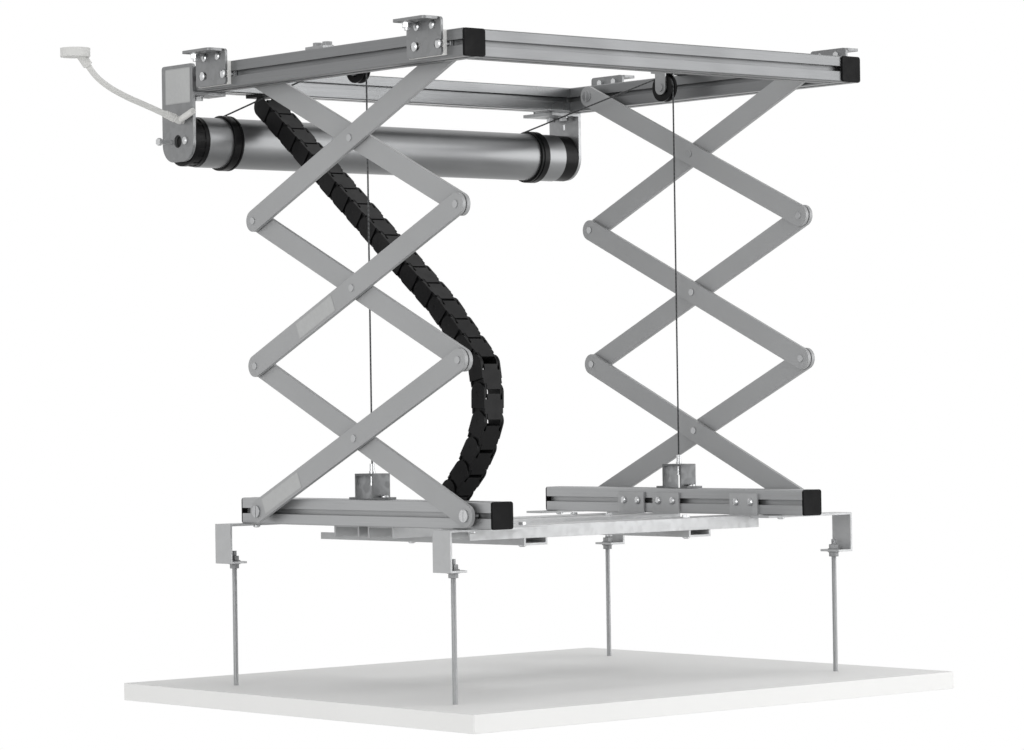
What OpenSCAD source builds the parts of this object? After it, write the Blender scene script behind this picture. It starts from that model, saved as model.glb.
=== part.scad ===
// Ceiling lift: scissor arms hung from the ceiling, raised by two wire ropes
// that a tubular motor winds. Drawn partly lowered. Up is +Z, the front is -Y, left is -X.
// The origin lies on the ceiling, in the middle of the four ceiling brackets' slots.

/* [Top frame] */
// Width of the top frame, outside to outside
frame_w = 600; // [520:1:760]
// Length of the two top rails
frame_d = 545; // [535:1:640]
// Side of the square rail section
profile = 30; // [28:0.5:34]
// Opening of the slot in each face of the rail
slot_w = 6.2; // [5.5:0.1:7]
// Thickness of the two lips beside the slot
slot_lip = 2; // [1.6:0.1:2.4]
// Width of the hollow behind the lips
slot_cavity_w = 12.4; // [11:0.1:13]
// Depth of the hollow behind the lips
slot_cavity_d = 5.2; // [4.5:0.1:5.8]
// Diameter of the hole along the middle of the rail
rail_bore_d = 6.8; // [5:0.1:7.5]
// Distance from the front ends of the top rails to the back beam
back_beam_setback = 475; // [474:1:486]
// Thickness of the moulded end caps
cap_t = 2.4; // [1.5:0.1:4]

/* [Ceiling brackets] */
// Space between the ceiling and the top of the rails
ceiling_gap = 14; // [13:0.5:30]
// Distance from the rails' front ends to the front brackets
bracket_front = 55; // [45:1:90]
// Distance from the rails' front ends to the rear brackets
bracket_rear = 445; // [400:1:452]
// Length of a ceiling bracket along the rail
bracket_len = 58; // [50:1:64]
// How far a bracket's flange stands out past its plate
bracket_flange = 22; // [20:1:40]
// Distance from a bracket's middle back to its ceiling slot
bracket_slot_shift = 14; // [0:1:16]
// Sheet thickness of the ceiling brackets
bracket_t = 3.2; // [2:0.1:4]
// Thickness of the spacer block behind each bracket
bracket_spacer = 5; // [3:0.5:8]
// Width of the slots for the ceiling bolts
ceiling_slot_w = 7; // [5.5:0.5:9]
// Length of the slots for the ceiling bolts
ceiling_slot_l = 13; // [11:0.5:15]

/* [Scissors] */
// Distance between the end pivots of an arm
arm_len = 404; // [396:1:404]
// Width of an arm
arm_w = 25; // [20:1:26]
// Thickness of an arm
arm_t = 4.5; // [3:0.1:5]
// Slope of the arms as drawn, in degrees
fold_angle = 24.5; // [20:0.5:26]
// Diameter of the pivot pins
pin_d = 6; // [5:0.5:6.5]
// Running clearance around a pin, on the radius
pin_clear = 0.05; // [0.02:0.01:0.1]
// Space between the two arms that cross
arm_gap = 2; // [1.5:0.1:2.5]
// Radius of the pin heads
pin_head_r = 4.2; // [4:0.1:5.5]
// Height of the pin heads
pin_head_h = 1; // [0.6:0.1:1.4]
// Distance from the rails' front ends to the fixed pivots
pivot_front = 58; // [54:1:58]

/* [Bottom rails] */
// Length of the bottom rails
bottom_len = 450; // [446:1:460]
// Distance from the top rails' front ends to the bottom rails
bottom_setback = 25; // [20:1:28]
// Distance from a top rail's outer face to a bottom rail's outer face
bottom_inset = 50; // [49.5:0.1:52]

/* [Drum and motor] */
// Distance from the rails' front ends to the drum's axis
drum_setback = 518; // [515:1:530]
// Depth of the drum's axis under the top of the rails
drum_drop = 86; // [80:1:100]
// Outer diameter of the drum tube
tube_d = 59; // [50:1:60]
// Wall of the drum tube
tube_wall = 2; // [1.2:0.1:4]
// Outer diameter of the rope collars
collar_d = 65; // [62:1:70]
// Width of the rope collars
collar_w = 13; // [10:1:16]
// Outer diameter of the tubular motor
motor_d = 45; // [38:1:46]
// Length of the tubular motor inside the drum
motor_len = 380; // [250:5:440]
// Thickness of the motor plate and of the idler plate
plate_t = 4; // [3:0.5:5]
// Width of the motor plate
plate_w = 62; // [56:1:64]

/* [Ropes and pulleys] */
// Diameter of the wire ropes
rope_d = 2; // [1.5:0.1:2.5]
// Radius of a pulley at the bottom of its groove
pulley_groove_r = 13.5; // [12:0.5:14]
// Outer radius of a pulley
pulley_r = 17; // [15.5:0.5:18]
// Width of a pulley
pulley_w = 9.6; // [8:0.1:11]
// Distance from the rails' front ends to the rope drops
rope_setback = 248; // [240:1:256]
// Depth of the pulley axles under the top of the rails
pulley_drop = 18; // [17:0.5:24]

/* [Cable chain] */
// Distance between the pivots of two chain links
link_pitch = 31; // [30:0.1:31.5]
// Height of a chain link
link_h = 22; // [18:0.5:22.5]
// Width of a chain link
link_w = 28; // [24:0.5:29]
// Wall of a chain link
link_wall = 2.2; // [1.6:0.1:2.4]

/* [Platform] */
// Width of the cross bars under the bottom rails
bar_w = 46; // [36:1:48]
// Height of the cross bars
bar_h = 14; // [10:0.5:16]
// Sheet thickness of the cross bars, strips and hangers
sheet_t = 2.5; // [1.5:0.1:3]
// Distance between the two mounting strips, middle to middle
strip_spacing = 250; // [180:1:320]
// Width of a mounting strip
strip_w = 34; // [28:1:40]
// Length of a mounting strip
strip_len = 370; // [340:1:380]
// Distance between the mounting slots along a strip
slot_spacing = 200; // [150:1:240]
// Width of the mounting slots
mount_slot_w = 5.2; // [4:0.1:6.4]
// Length of the mounting slots
mount_slot_l = 18; // [12:1:22]

/* [Hangers and ceiling panel] */
// Length of a panel hanger under its rail
hanger_len = 138; // [115:1:140]
// Width of a panel hanger
hanger_w = 30; // [24:1:34]
// Depth of a hanger below the bottom rails
hanger_drop = 46; // [40:1:60]
// Length of a hanger's foot
hanger_foot = 23; // [22:1:30]
// Diameter of the threaded rods
rod_d = 6; // [5:0.5:6]
// Width of the ceiling panel
panel_w = 735; // [720:1:900]
// Depth of the ceiling panel
panel_d = 646; // [640:1:800]
// Thickness of the ceiling panel
panel_t = 20; // [16:1:30]
// How far the panel's middle lies behind the middle of its rods
panel_shift = 9.5; // [-20:0.5:20]
// How far the panel's middle stands to the right of the rods' middle
panel_side_shift = 7.5; // [-15:0.5:15]
// Height from the panel's top to the underside of the bottom rails
panel_drop = 188; // [150:1:260]

/* [Cord] */
// Diameter of the power cord
cord_d = 7; // [5:0.5:8]

/* [Hidden] */
$fn = 40;

// Overrun of every cut
cut = 1;
// Gap between parts that lie face to face without being joined
fit_gap = 0.2;
// Radius of the rail's outer edges
rail_edge_r = 1.5;
// Radius of the sheet corners
corner_r = 4;

// Places across the lift, counted from the middle
rail_x = frame_w / 2 - profile / 2;
rail_in_x = frame_w / 2 - profile;
bottom_out_x = frame_w / 2 - bottom_inset;
bottom_x = bottom_out_x - profile / 2;
bottom_in_x = bottom_out_x - profile;
arm_space = bottom_inset - profile;
arm_side_gap = (arm_space - 2 * arm_t - arm_gap) / 2;
outer_arm_x = rail_in_x - arm_side_gap - arm_t;
inner_arm_x = outer_arm_x - arm_gap - arm_t;

// Places along the lift, counted from the front ends of the top rails
front_y = -(bracket_front + bracket_rear) / 2 - bracket_slot_shift;
spread = arm_len * cos(fold_angle);
pivot_fy = front_y + pivot_front;
pivot_ry = pivot_fy + spread;
pivot_cy = (pivot_fy + pivot_ry) / 2;
rope_y = front_y + rope_setback;
drum_y = front_y + drum_setback;
back_beam_y = front_y + back_beam_setback;
bottom_y = front_y + bottom_setback;

// Heights, counted from the ceiling
rail_z = -ceiling_gap - profile / 2;
rail_low_z = -ceiling_gap - profile;
stage = arm_len * sin(fold_angle);
bottom_z = rail_z - 3 * stage;
bottom_top_z = bottom_z + profile / 2;
bottom_low_z = bottom_z - profile / 2;
drum_z = -ceiling_gap - drum_drop;
pulley_z = -ceiling_gap - pulley_drop;
bar_low_z = bottom_low_z - bar_h;

// Fasteners
bolt_r = 2.9;
bolt_head_r = 5.5;
bolt_head_h = 4;
slot_nut_w = 10;
slot_nut_t = 4;
slot_nut_l = 14;
washer_r = 7;
washer_t = 1;
screw_r = 2.4;
screw_head_r = 4.4;
screw_head_h = 2.6;

// Turns what is drawn along +Z to point along +X or -X
module along_x(s) { rotate([0, s * 90, 0]) children(); }

// Turns what is drawn along +Z to point along +Y
module along_y() { rotate([-90, 0, 0]) children(); }

// Draws its children on the left and on the right, told apart by $s
module both_sides() { for (s = [-1, 1]) { $s = s; children(); } }

// Section of the slotted rail
module rail_section() {
    half = profile / 2;
    difference() {
        rounded_square(profile, profile, rail_edge_r);
        for (a = [0:90:270]) rotate(a) {
            translate([half - slot_lip - cut, -slot_w / 2]) square([slot_lip + 2 * cut, slot_w]);
            translate([half - slot_lip - slot_cavity_d, -slot_cavity_w / 2])
                square([slot_cavity_d, slot_cavity_w]);
        }
        circle(d = rail_bore_d);
    }
}

// Rectangle with round corners, about its middle
module rounded_square(w, h, r) {
    square([w, h - 2 * r], center = true);
    square([w - 2 * r, h], center = true);
    for (x = [-1, 1], y = [-1, 1]) translate([x * (w / 2 - r), y * (h / 2 - r)]) circle(r);
}

// Slot with round ends, about its middle
module slot_shape(l, w) {
    square([l - w, w], center = true);
    for (x = [-1, 1]) translate([x * (l - w) / 2, 0]) circle(d = w);
}

// Hexagon screw: washer, head and shank, the shank pointing along -Z from the origin
module hex_bolt(shank, r = bolt_r, head_r = bolt_head_r, head_h = bolt_head_h) {
    translate([0, 0, washer_t]) cylinder(r = head_r, h = head_h, $fn = 6);
    cylinder(r = head_r * washer_r / bolt_head_r, h = washer_t);
    translate([0, 0, -shank]) cylinder(r = r, h = shank);
}

// Nut for the rail slot, turned on a screw that points along -Z
module slot_nut(depth) {
    translate([0, 0, -depth - slot_nut_t / 2])
        cube([slot_nut_l, slot_nut_w, slot_nut_t], center = true);
}

// Pan head with a bevelled rim
module pan_head(r) {
    rim_share = 0.6;
    cylinder(r = r, h = screw_head_h * rim_share);
    translate([0, 0, screw_head_h * rim_share])
        cylinder(r1 = r, r2 = r * rim_share, h = screw_head_h * (1 - rim_share), $fn = 24);
}

// Pan head screw, the shank pointing along -Z from the origin
module pan_screw(shank) {
    pan_head(screw_head_r);
    translate([0, 0, -shank]) cylinder(r = screw_r, h = shank);
}

/* Top frame */

module top_rail(s) {
    color("silver") translate([s * rail_x, front_y, rail_z]) along_y()
        linear_extrude(frame_d) rail_section();
}

module left_top_rail() { top_rail(-1); }

module right_top_rail() { top_rail(1); }

module cross_beam(y) {
    color("silver") translate([-rail_in_x, y + profile / 2, rail_z]) along_x(1)
        linear_extrude(2 * rail_in_x) rail_section();
}

module front_beam() { cross_beam(front_y); }

module back_beam() { cross_beam(back_beam_y); }

// Moulded cap that closes a rail's end, with a plug in the middle hole
module end_cap() {
    plug_l = 8;
    linear_extrude(cap_t) rounded_square(profile, profile, rail_edge_r * 2);
    translate([0, 0, cap_t]) cylinder(d = rail_bore_d - fit_gap, h = plug_l);
}

module rail_end_caps() {
    color("black") both_sides() {
        translate([$s * rail_x, front_y - cap_t, rail_z]) along_y() end_cap();
        translate([$s * rail_x, front_y + frame_d + cap_t, rail_z]) rotate([90, 0, 0]) end_cap();
    }
}

/* Ceiling brackets */

bracket_low = 3;
// Places of a bracket's two rail screws, and of its two small upper screws
bracket_screws = [-25, 15];
bracket_top_screws = [-15, 11];
bracket_slot_w = 8;
bracket_slot_l = 16;
top_screw_drop = 8;
nut_h = 3.2;

function bracket_ys() = [front_y + bracket_front, front_y + bracket_rear];

module ceiling_bracket() {
    plate_h = ceiling_gap + profile - bracket_low;
    out = bracket_spacer + bracket_t;
    difference() {
        union() {
            translate([bracket_spacer, 0, -plate_h / 2]) along_x(1)
                linear_extrude(bracket_t) rounded_square(plate_h, bracket_len, corner_r);
            translate([bracket_spacer, corner_r - bracket_len / 2, -bracket_t])
                cube([bracket_t + bracket_flange - corner_r, bracket_len - 2 * corner_r, bracket_t]);
            translate([out + bracket_flange / 2, 0, -bracket_t]) linear_extrude(bracket_t)
                rounded_square(bracket_flange, bracket_len - corner_r, corner_r);
        }
        translate([out + bracket_flange / 2, bracket_slot_shift, -bracket_t - cut])
            linear_extrude(bracket_t + 2 * cut) slot_shape(ceiling_slot_l, ceiling_slot_w);
        for (y = bracket_screws)
            translate([bracket_spacer - cut, y, -ceiling_gap - profile / 2])
                along_x(1) linear_extrude(bracket_t + 2 * cut) rotate(90)
                slot_shape(bracket_slot_l, bracket_slot_w);
        for (y = bracket_top_screws)
            translate([bracket_spacer - cut, y, -top_screw_drop]) along_x(1)
                cylinder(r = screw_r * 1.1, h = bracket_t + 2 * cut);
    }
}

module ceiling_brackets() {
    color("silver") for (y = bracket_ys()) both_sides()
        translate([$s * frame_w / 2, y, 0]) on_side($s) ceiling_bracket();
}

// Mirrors its children for the left side
module on_side(s) { if (s < 0) mirror([1, 0, 0]) children(); else children(); }

// Blocks between the brackets' plates and the rails
module bracket_spacers() {
    color("white") for (y = bracket_ys()) both_sides()
        translate([$s * frame_w / 2, y, rail_z]) on_side($s) difference() {
            translate([0, -bracket_len / 2, bracket_low - profile / 2])
                cube([bracket_spacer, bracket_len, profile - bracket_low]);
            for (y2 = bracket_screws) translate([-cut, y2, 0]) along_x(1)
                cylinder(r = bolt_r * 1.1, h = bracket_spacer + 2 * cut);
        }
}

// Screw that holds a sheet of the given thickness to a rail slot, pointing along -Z
module rail_bolt(grip) {
    depth = grip + slot_lip + fit_gap;
    hex_bolt(depth + slot_nut_t);
    slot_nut(depth);
}

// Pan head screw with its nut behind the given grip, pointing along -Z
module nutted_screw(grip) {
    pan_screw(grip + nut_h);
    translate([0, 0, -grip - nut_h]) cylinder(r = screw_head_r, h = nut_h, $fn = 6);
}

module frame_bolts() {
    head_over_slot = 1;
    grip = bracket_spacer + bracket_t;
    color("whitesmoke") {
        for (y = bracket_ys()) both_sides() {
            for (y2 = bracket_screws)
                translate([$s * (frame_w / 2 + grip), y + y2, rail_z])
                    along_x($s) rotate(90) {
                        pan_head(bracket_slot_w / 2 + head_over_slot);
                        slot_nut(grip + slot_lip + fit_gap);
                        translate([0, 0, -grip - slot_lip - slot_nut_t])
                            cylinder(r = bolt_r, h = grip + slot_lip + slot_nut_t);
                    }
            for (y2 = bracket_top_screws)
                translate([$s * (frame_w / 2 + grip), y + y2, -top_screw_drop])
                    along_x($s) nutted_screw(bracket_t);
        }
        for (y = motor_bolt_ys()) translate([-frame_w / 2 - plate_t, y, rail_z])
            along_x(-1) rotate(90) {
                translate([0, 0, -sink_h]) cylinder(r1 = bolt_r, r2 = sink_r, h = sink_h);
                translate([0, 0, -plate_t - slot_lip - slot_nut_t])
                    cylinder(r = bolt_r, h = plate_t + slot_lip + slot_nut_t - sink_h);
                slot_nut(plate_t + slot_lip + fit_gap);
            }
        translate([-rail_x, motor_bolt_ys()[0], rail_low_z - plate_t])
            rotate([180, 0, 0]) rotate(90) rail_bolt(plate_t);
        for (y = idler_bolt_ys()) translate([rail_x, y, rail_low_z - plate_t])
            rotate([180, 0, 0]) rotate(90) rail_bolt(plate_t);
    }
}

// Nuts and bolt ends under the flanges, on the bolts that hang from the ceiling
module ceiling_bolts() {
    stud_r = 3;
    stud_nut_r = 5.6;
    stud_nut_h = 5;
    tip = 3;
    color("whitesmoke") for (y = bracket_ys()) both_sides()
        translate([$s * (frame_w / 2 + bracket_spacer + bracket_t + bracket_flange / 2),
                   y + bracket_slot_shift, -bracket_t - washer_t]) {
            cylinder(r = stud_nut_r * 1.2, h = washer_t);
            translate([0, 0, -stud_nut_h]) cylinder(r = stud_nut_r, h = stud_nut_h, $fn = 6);
            translate([0, 0, -stud_nut_h - tip]) cylinder(r = stud_r, h = tip + stud_nut_h);
        }
}

/* Drum, motor and their brackets */

motor_plate_low = 24;
motor_hole_r = 7.5;
motor_screw_out = 15;
sink_r = 6;
sink_h = 2.4;
crown_w = 20;
crown_recess = 0.6;
plug_w = 20;
drum_end_gap = 2;
tube_x0 = -frame_w / 2 + drum_end_gap + crown_w;
tube_x1 = frame_w / 2 - plate_t - drum_end_gap - plug_w;
idler_axle_r = 6;
bearing_clear = 0.06;

function motor_bolt_ys() = [drum_y - plate_w / 4, drum_y + plate_w / 4];

function idler_bolt_ys() = [drum_y - plate_w / 5, drum_y + plate_w / 5];

module motor_bracket() {
    z1 = -ceiling_gap + bracket_t;
    z0 = drum_z - motor_plate_low;
    h = z1 - z0;
    r = motor_plate_low * 0.92;
    flange = 42;
    flange_w = 34;
    color("slategray") difference() {
        union() {
            translate([-frame_w / 2, drum_y, z0]) along_x(-1) linear_extrude(plate_t) {
                translate([r, -plate_w / 2]) square([h - r - corner_r, plate_w]);
                translate([0, r - plate_w / 2]) square([h, plate_w - 2 * r]);
                for (y = [-1, 1]) {
                    translate([r, y * (plate_w / 2 - r)]) circle(r);
                    translate([h - corner_r, y * (plate_w / 2 - corner_r)]) circle(corner_r);
                }
                translate([h / 2, corner_r - plate_w / 2])
                    square([h / 2, plate_w - 2 * corner_r]);
            }
            translate([-frame_w / 2 - plate_t, motor_bolt_ys()[0] - flange_w / 2,
                       rail_low_z - plate_t]) cube([flange + plate_t, flange_w, plate_t]);
        }
        translate([-frame_w / 2 + cut, drum_y, drum_z]) along_x(-1)
            cylinder(r = motor_hole_r, h = plate_t + 2 * cut);
        for (y = motor_bolt_ys()) translate([-frame_w / 2, y, rail_z]) along_x(-1) {
            translate([0, 0, -cut]) cylinder(r = bolt_r * 1.1, h = plate_t + 2 * cut);
            translate([0, 0, plate_t - sink_h])
                cylinder(r1 = bolt_r * 1.1, r2 = sink_r + pin_clear, h = sink_h);
            translate([0, 0, plate_t - cut / 2]) cylinder(r = sink_r + pin_clear, h = cut);
        }
        translate([-rail_x, motor_bolt_ys()[0], rail_low_z - plate_t - cut])
            cylinder(r = bolt_r * 1.1, h = plate_t + 2 * cut);
        for (y = [-1, 1]) translate([-frame_w / 2 + cut, drum_y + y * motor_screw_out, drum_z])
            along_x(-1) cylinder(r = screw_r * 1.1, h = plate_t + 2 * cut);
    }
}

// Angle plate under the right rail, with the idler axle riveted into it
module idler_bracket() {
    w = tube_d * 0.95;
    flange = 48;
    h = rail_low_z - drum_z;
    color("silver") difference() {
        union() {
            translate([frame_w / 2 - plate_t, drum_y, drum_z]) along_x(1)
                linear_extrude(plate_t) {
                    circle(d = w);
                    translate([-h, -w / 2]) square([h, w]);
                }
            translate([frame_w / 2 - flange, drum_y - w / 2, rail_low_z - plate_t])
                cube([flange, w, plate_t]);
            translate([frame_w / 2 - plate_t - plug_w, drum_y, drum_z]) along_x(1)
                cylinder(r = idler_axle_r, h = plug_w + plate_t + washer_t);
        }
        for (y = idler_bolt_ys()) translate([rail_x, y, rail_low_z - plate_t - cut])
            cylinder(r = bolt_r * 1.1, h = plate_t + 2 * cut);
        translate([frame_w / 2 - plate_t - cut, drum_y, drum_z + h * 0.72]) along_x(1)
            linear_extrude(plate_t + 2 * cut) slot_shape(bolt_r * 3.4, bolt_r * 1.4);
    }
}

// Motor tube, its head behind the plate, and the two screws that hold it there
module tubular_motor() {
    knob_r = 3;
    knob_l = 18;
    hex_share = 1.5;
    x0 = -frame_w / 2;
    color("dimgray") {
        translate([x0 + crown_w + drum_end_gap, drum_y, drum_z]) along_x(1)
            cylinder(d = motor_d, h = motor_len);
        translate([x0, drum_y, drum_z]) along_x(1)
            cylinder(r = motor_d / 2 - tube_wall, h = crown_w + drum_end_gap);
        translate([x0 - plate_t, drum_y - motor_screw_out, drum_z]) along_x(-1)
            pan_screw(plate_t);
        translate([x0 - plate_t - knob_l, drum_y + motor_screw_out, drum_z]) along_x(1) {
            cylinder(r = screw_r, h = knob_l + plate_t);
            cylinder(r = knob_r, h = knob_l);
            cylinder(r = knob_r * hex_share, h = knob_r * hex_share, $fn = 6);
        }
    }
}

module drum_tube() {
    color("gray") translate([tube_x0, drum_y, drum_z]) along_x(1) difference() {
        cylinder(d = tube_d, h = tube_x1 - tube_x0);
        translate([0, 0, -cut])
            cylinder(d = tube_d - 2 * tube_wall, h = tube_x1 - tube_x0 + 2 * cut);
    }
}

// Ribbed ring that turns on the motor head and drives the tube
module drive_crown() {
    ribs = 16;
    r = tube_d / 2 - crown_recess;
    color("black") translate([tube_x0 - crown_w, drum_y, drum_z]) along_x(1) difference() {
        union() {
            cylinder(r = r * 0.965, h = crown_w);
            cylinder(r = r, h = crown_w * 0.28);
            translate([0, 0, crown_w * 0.72]) cylinder(r = r, h = crown_w * 0.28);
            for (a = [0:360 / ribs:359]) rotate(a)
                translate([r * 0.9, -r * 0.06, 0]) cube([r * 0.088, r * 0.12, crown_w]);
        }
        translate([0, 0, -cut])
            cylinder(r = motor_d / 2 - tube_wall + bearing_clear, h = crown_w + 2 * cut);
    }
}

module drum_idler_plug() {
    color("black") translate([tube_x1, drum_y, drum_z]) along_x(1) difference() {
        union() {
            cylinder(r = tube_d / 2 - crown_recess, h = plug_w);
            translate([0, 0, -plug_w]) cylinder(d = tube_d - 2 * tube_wall - fit_gap, h = plug_w);
        }
        cylinder(r = idler_axle_r + bearing_clear, h = plug_w + cut);
    }
}

// Rings that grip the tube and carry the ropes in a shallow groove
module rope_collars() {
    shift = collar_w * 0.23;
    color("black") both_sides() translate([$s * (bottom_x + shift), drum_y, drum_z])
        along_x($s) difference() {
            translate([0, 0, -collar_w / 2]) cylinder(d = collar_d, h = collar_w);
            translate([0, 0, -collar_w / 2 - cut])
                cylinder(d = tube_d + fit_gap / 2, h = collar_w + 2 * cut);
            translate([0, 0, -shift - rope_d * 0.6]) difference() {
                cylinder(d = collar_d + cut, h = rope_d * 1.2);
                cylinder(r = collar_d / 2 - rope_d / 2, h = rope_d * 1.2);
            }
        }
}

/* Pulleys and ropes */

ear_t = 2.4;
ear_gap = 0.6;
pulley_axle_r = 3;
pulley_head_h = 1.6;
pulley_y = rope_y + pulley_groove_r + rope_d / 2;
rope_r_drum = collar_d / 2;
rope_bite = 0.4;
rope_thin_share = 0.48;
rope_r_pulley = pulley_groove_r + rope_d / 2;

module pulley(s) {
    lip = (pulley_w - rope_d * 1.3) / 2;
    color("black") translate([s * bottom_x - pulley_w / 2, pulley_y, pulley_z]) along_x(1)
        difference() {
            rotate_extrude($fn = 64) polygon([
                [pulley_axle_r + bearing_clear, 0], [pulley_r, 0], [pulley_r, lip * 0.5],
                [pulley_groove_r, lip], [pulley_groove_r, pulley_w - lip],
                [pulley_r, pulley_w - lip * 0.5], [pulley_r, pulley_w],
                [pulley_axle_r + bearing_clear, pulley_w]]);
            for (a = [0:60:300]) rotate(a) translate([pulley_groove_r * 0.62, 0, -cut])
                cylinder(r = pulley_groove_r * 0.15, h = pulley_w + 2 * cut);
        }
}

module left_pulley() { pulley(-1); }

module right_pulley() { pulley(1); }

// Plate bolted on top of the rail, with two ears that hold the pulley's axle
module pulley_brackets() {
    w = pulley_r * 1.9;
    ear_r = pulley_r * 0.52;
    top_t = bracket_t;
    inner = bottom_x - pulley_w / 2 - ear_gap - ear_t;
    outer = bottom_x + pulley_w / 2 + ear_gap;
    drop = -ceiling_gap - pulley_z;
    color("silver") both_sides() on_side($s) {
        difference() {
            translate([inner, pulley_y - w / 2, -ceiling_gap])
                cube([rail_x + profile * 0.4 - inner, w, top_t]);
            for (y = [-1, 1]) translate([rail_x, pulley_y + y * w * 0.27, -ceiling_gap - cut])
                cylinder(r = bolt_r * 1.1, h = top_t + 2 * cut);
        }
        for (x = [inner, outer]) translate([x, pulley_y, pulley_z]) along_x(1) difference() {
            linear_extrude(ear_t) {
                circle(ear_r);
                translate([-drop - fit_gap, -ear_r]) square([drop + fit_gap, 2 * ear_r]);
            }
            translate([0, 0, -cut]) cylinder(r = pulley_axle_r + bearing_clear, h = ear_t + 2 * cut);
        }
        translate([inner - pulley_head_h, pulley_y, pulley_z]) along_x(1) {
            cylinder(r = pulley_axle_r * 1.7, h = pulley_head_h);
            cylinder(r = pulley_axle_r, h = outer - inner + ear_t + 2 * pulley_head_h);
        }
        for (y = [-1, 1]) translate([rail_x, pulley_y + y * w * 0.27, -ceiling_gap + top_t])
            rotate(90) rail_bolt(top_t);
    }
}

// Tangent line over the drum and the pulley, as the angle of its upward normal
span_y = drum_y - pulley_y;
span_z = drum_z - pulley_z;
span = norm([span_y, span_z]);
normal_a = atan2(span_z, span_y) + acos((rope_r_pulley - rope_r_drum) / span);
run_start = [drum_y + rope_r_drum * cos(normal_a), drum_z + rope_r_drum * sin(normal_a)];
run_end = [pulley_y + rope_r_pulley * cos(normal_a), pulley_z + rope_r_pulley * sin(normal_a)];

// Lays what is drawn flat on the plane across the lift: X runs back and Y runs up
module on_side_plane() { rotate([90, 0, 90]) children(); }

// Ropes from the drum to the pulleys, and the stretch that bends over each pulley
module rope_runs() {
    d = run_start - run_end;
    color("dimgray") both_sides() translate([$s * bottom_x, 0, 0]) on_side_plane() {
        translate(run_end) rotate(atan2(d[1], d[0])) translate([-rope_bite, 0]) rotate([0, 90, 0])
            cylinder(r = rope_d * rope_thin_share, h = norm(d) + rope_bite);
        translate([pulley_y, pulley_z]) rotate(normal_a)
            rotate_extrude(angle = 180 - normal_a, $fn = 64)
            translate([rope_r_pulley, 0]) circle(rope_d / 2, $fn = 16);
    }
}

// Ropes from the pulleys down to the bridges on the bottom rails
module rope_drops() {
    color("dimgray") both_sides()
        translate([$s * bottom_x, rope_y, anchor_top_z - anchor_t - ferrule_l])
            cylinder(r = rope_d / 2, h = pulley_z - anchor_top_z + anchor_t + ferrule_l, $fn = 16);
}

anchor_h = 29;
anchor_w = 24;
anchor_gap = 28;
anchor_t = 2.5;
anchor_foot = 11;
anchor_top_z = bottom_top_z + anchor_h;
ferrule_r = 2.8;
ferrule_l = 11;

// Inverted U with feet, screwed on top of the bottom rail
module rope_anchors() {
    out = anchor_gap / 2 + anchor_t;
    color("silver") both_sides() translate([$s * bottom_x, rope_y, 0]) difference() {
        union() {
            translate([-anchor_w / 2, -out, anchor_top_z - anchor_t])
                cube([anchor_w, 2 * out, anchor_t]);
            for (y = [-out, out - anchor_t]) translate([-anchor_w / 2, y, bottom_top_z])
                cube([anchor_w, anchor_t, anchor_h]);
            for (y = [-out - anchor_foot, out]) translate([-anchor_w / 2, y, bottom_top_z])
                cube([anchor_w, anchor_foot, anchor_t]);
        }
        translate([0, 0, anchor_top_z - anchor_t - cut])
            cylinder(r = ferrule_r * 0.7, h = anchor_t + 2 * cut);
        for (y = [-1, 1]) translate([0, y * (out + anchor_foot / 2), bottom_top_z - cut])
            cylinder(r = screw_r * 1.1, h = anchor_t + 2 * cut);
    }
}

// Swaged sleeves above and below the bridge
module rope_ferrules() {
    color("gainsboro") both_sides() translate([$s * bottom_x, rope_y, anchor_top_z])
        for (z = [0, -anchor_t - ferrule_l]) translate([0, 0, z]) difference() {
            union() {
                cylinder(r = ferrule_r, h = ferrule_l);
                cylinder(r = ferrule_r * 1.25, h = ferrule_l * 0.25);
            }
            translate([0, 0, -cut])
                cylinder(r = rope_d / 2 + bearing_clear, h = ferrule_l + 2 * cut);
        }
}

/* Scissor arms */

// Arm going down from the pivot at y and z, its face towards the middle at x
module arm(s, x, y, z, front_at_top) {
    a = front_at_top ? -fold_angle : 180 + fold_angle;
    translate([s > 0 ? x : -x - arm_t, y, z]) rotate([a, 0, 0])
        on_side_plane() difference() {
            linear_extrude(arm_t) {
                translate([0, -arm_w / 2]) square([arm_len, arm_w]);
                for (d = [0, arm_len]) translate([d, 0]) circle(d = arm_w, $fn = 48);
            }
            for (d = [0, arm_len / 2, arm_len]) translate([d, 0, -cut])
                cylinder(r = pin_d / 2 + pin_clear, h = arm_t + 2 * cut);
        }
}

// Pin through both arms, with a head on each side and a washer between the arms
module arm_pin(s, y, z) {
    x0 = inner_arm_x - fit_gap / 2;
    x1 = outer_arm_x + arm_t + fit_gap / 2;
    head_at = [x0 - pin_head_h, x1];
    color("gainsboro") translate([0, y, z]) on_side(s) {
        translate([x0 - pin_head_h, 0, 0]) along_x(1)
            cylinder(r = pin_d / 2, h = x1 - x0 + 2 * pin_head_h);
        for (x = head_at) translate([x, 0, 0]) along_x(1) cylinder(r = pin_head_r, h = pin_head_h);
        translate([inner_arm_x + arm_t + fit_gap / 2, 0, 0]) along_x(1)
            cylinder(r = slot_head_r, h = arm_gap - fit_gap);
    }
}

slider_clear = 0.1;
slider_t = 3.4;
slot_head_r = 7;
slot_head_h = 2.2;
driver_w = 1.3;
driver_deep = 1;

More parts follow.
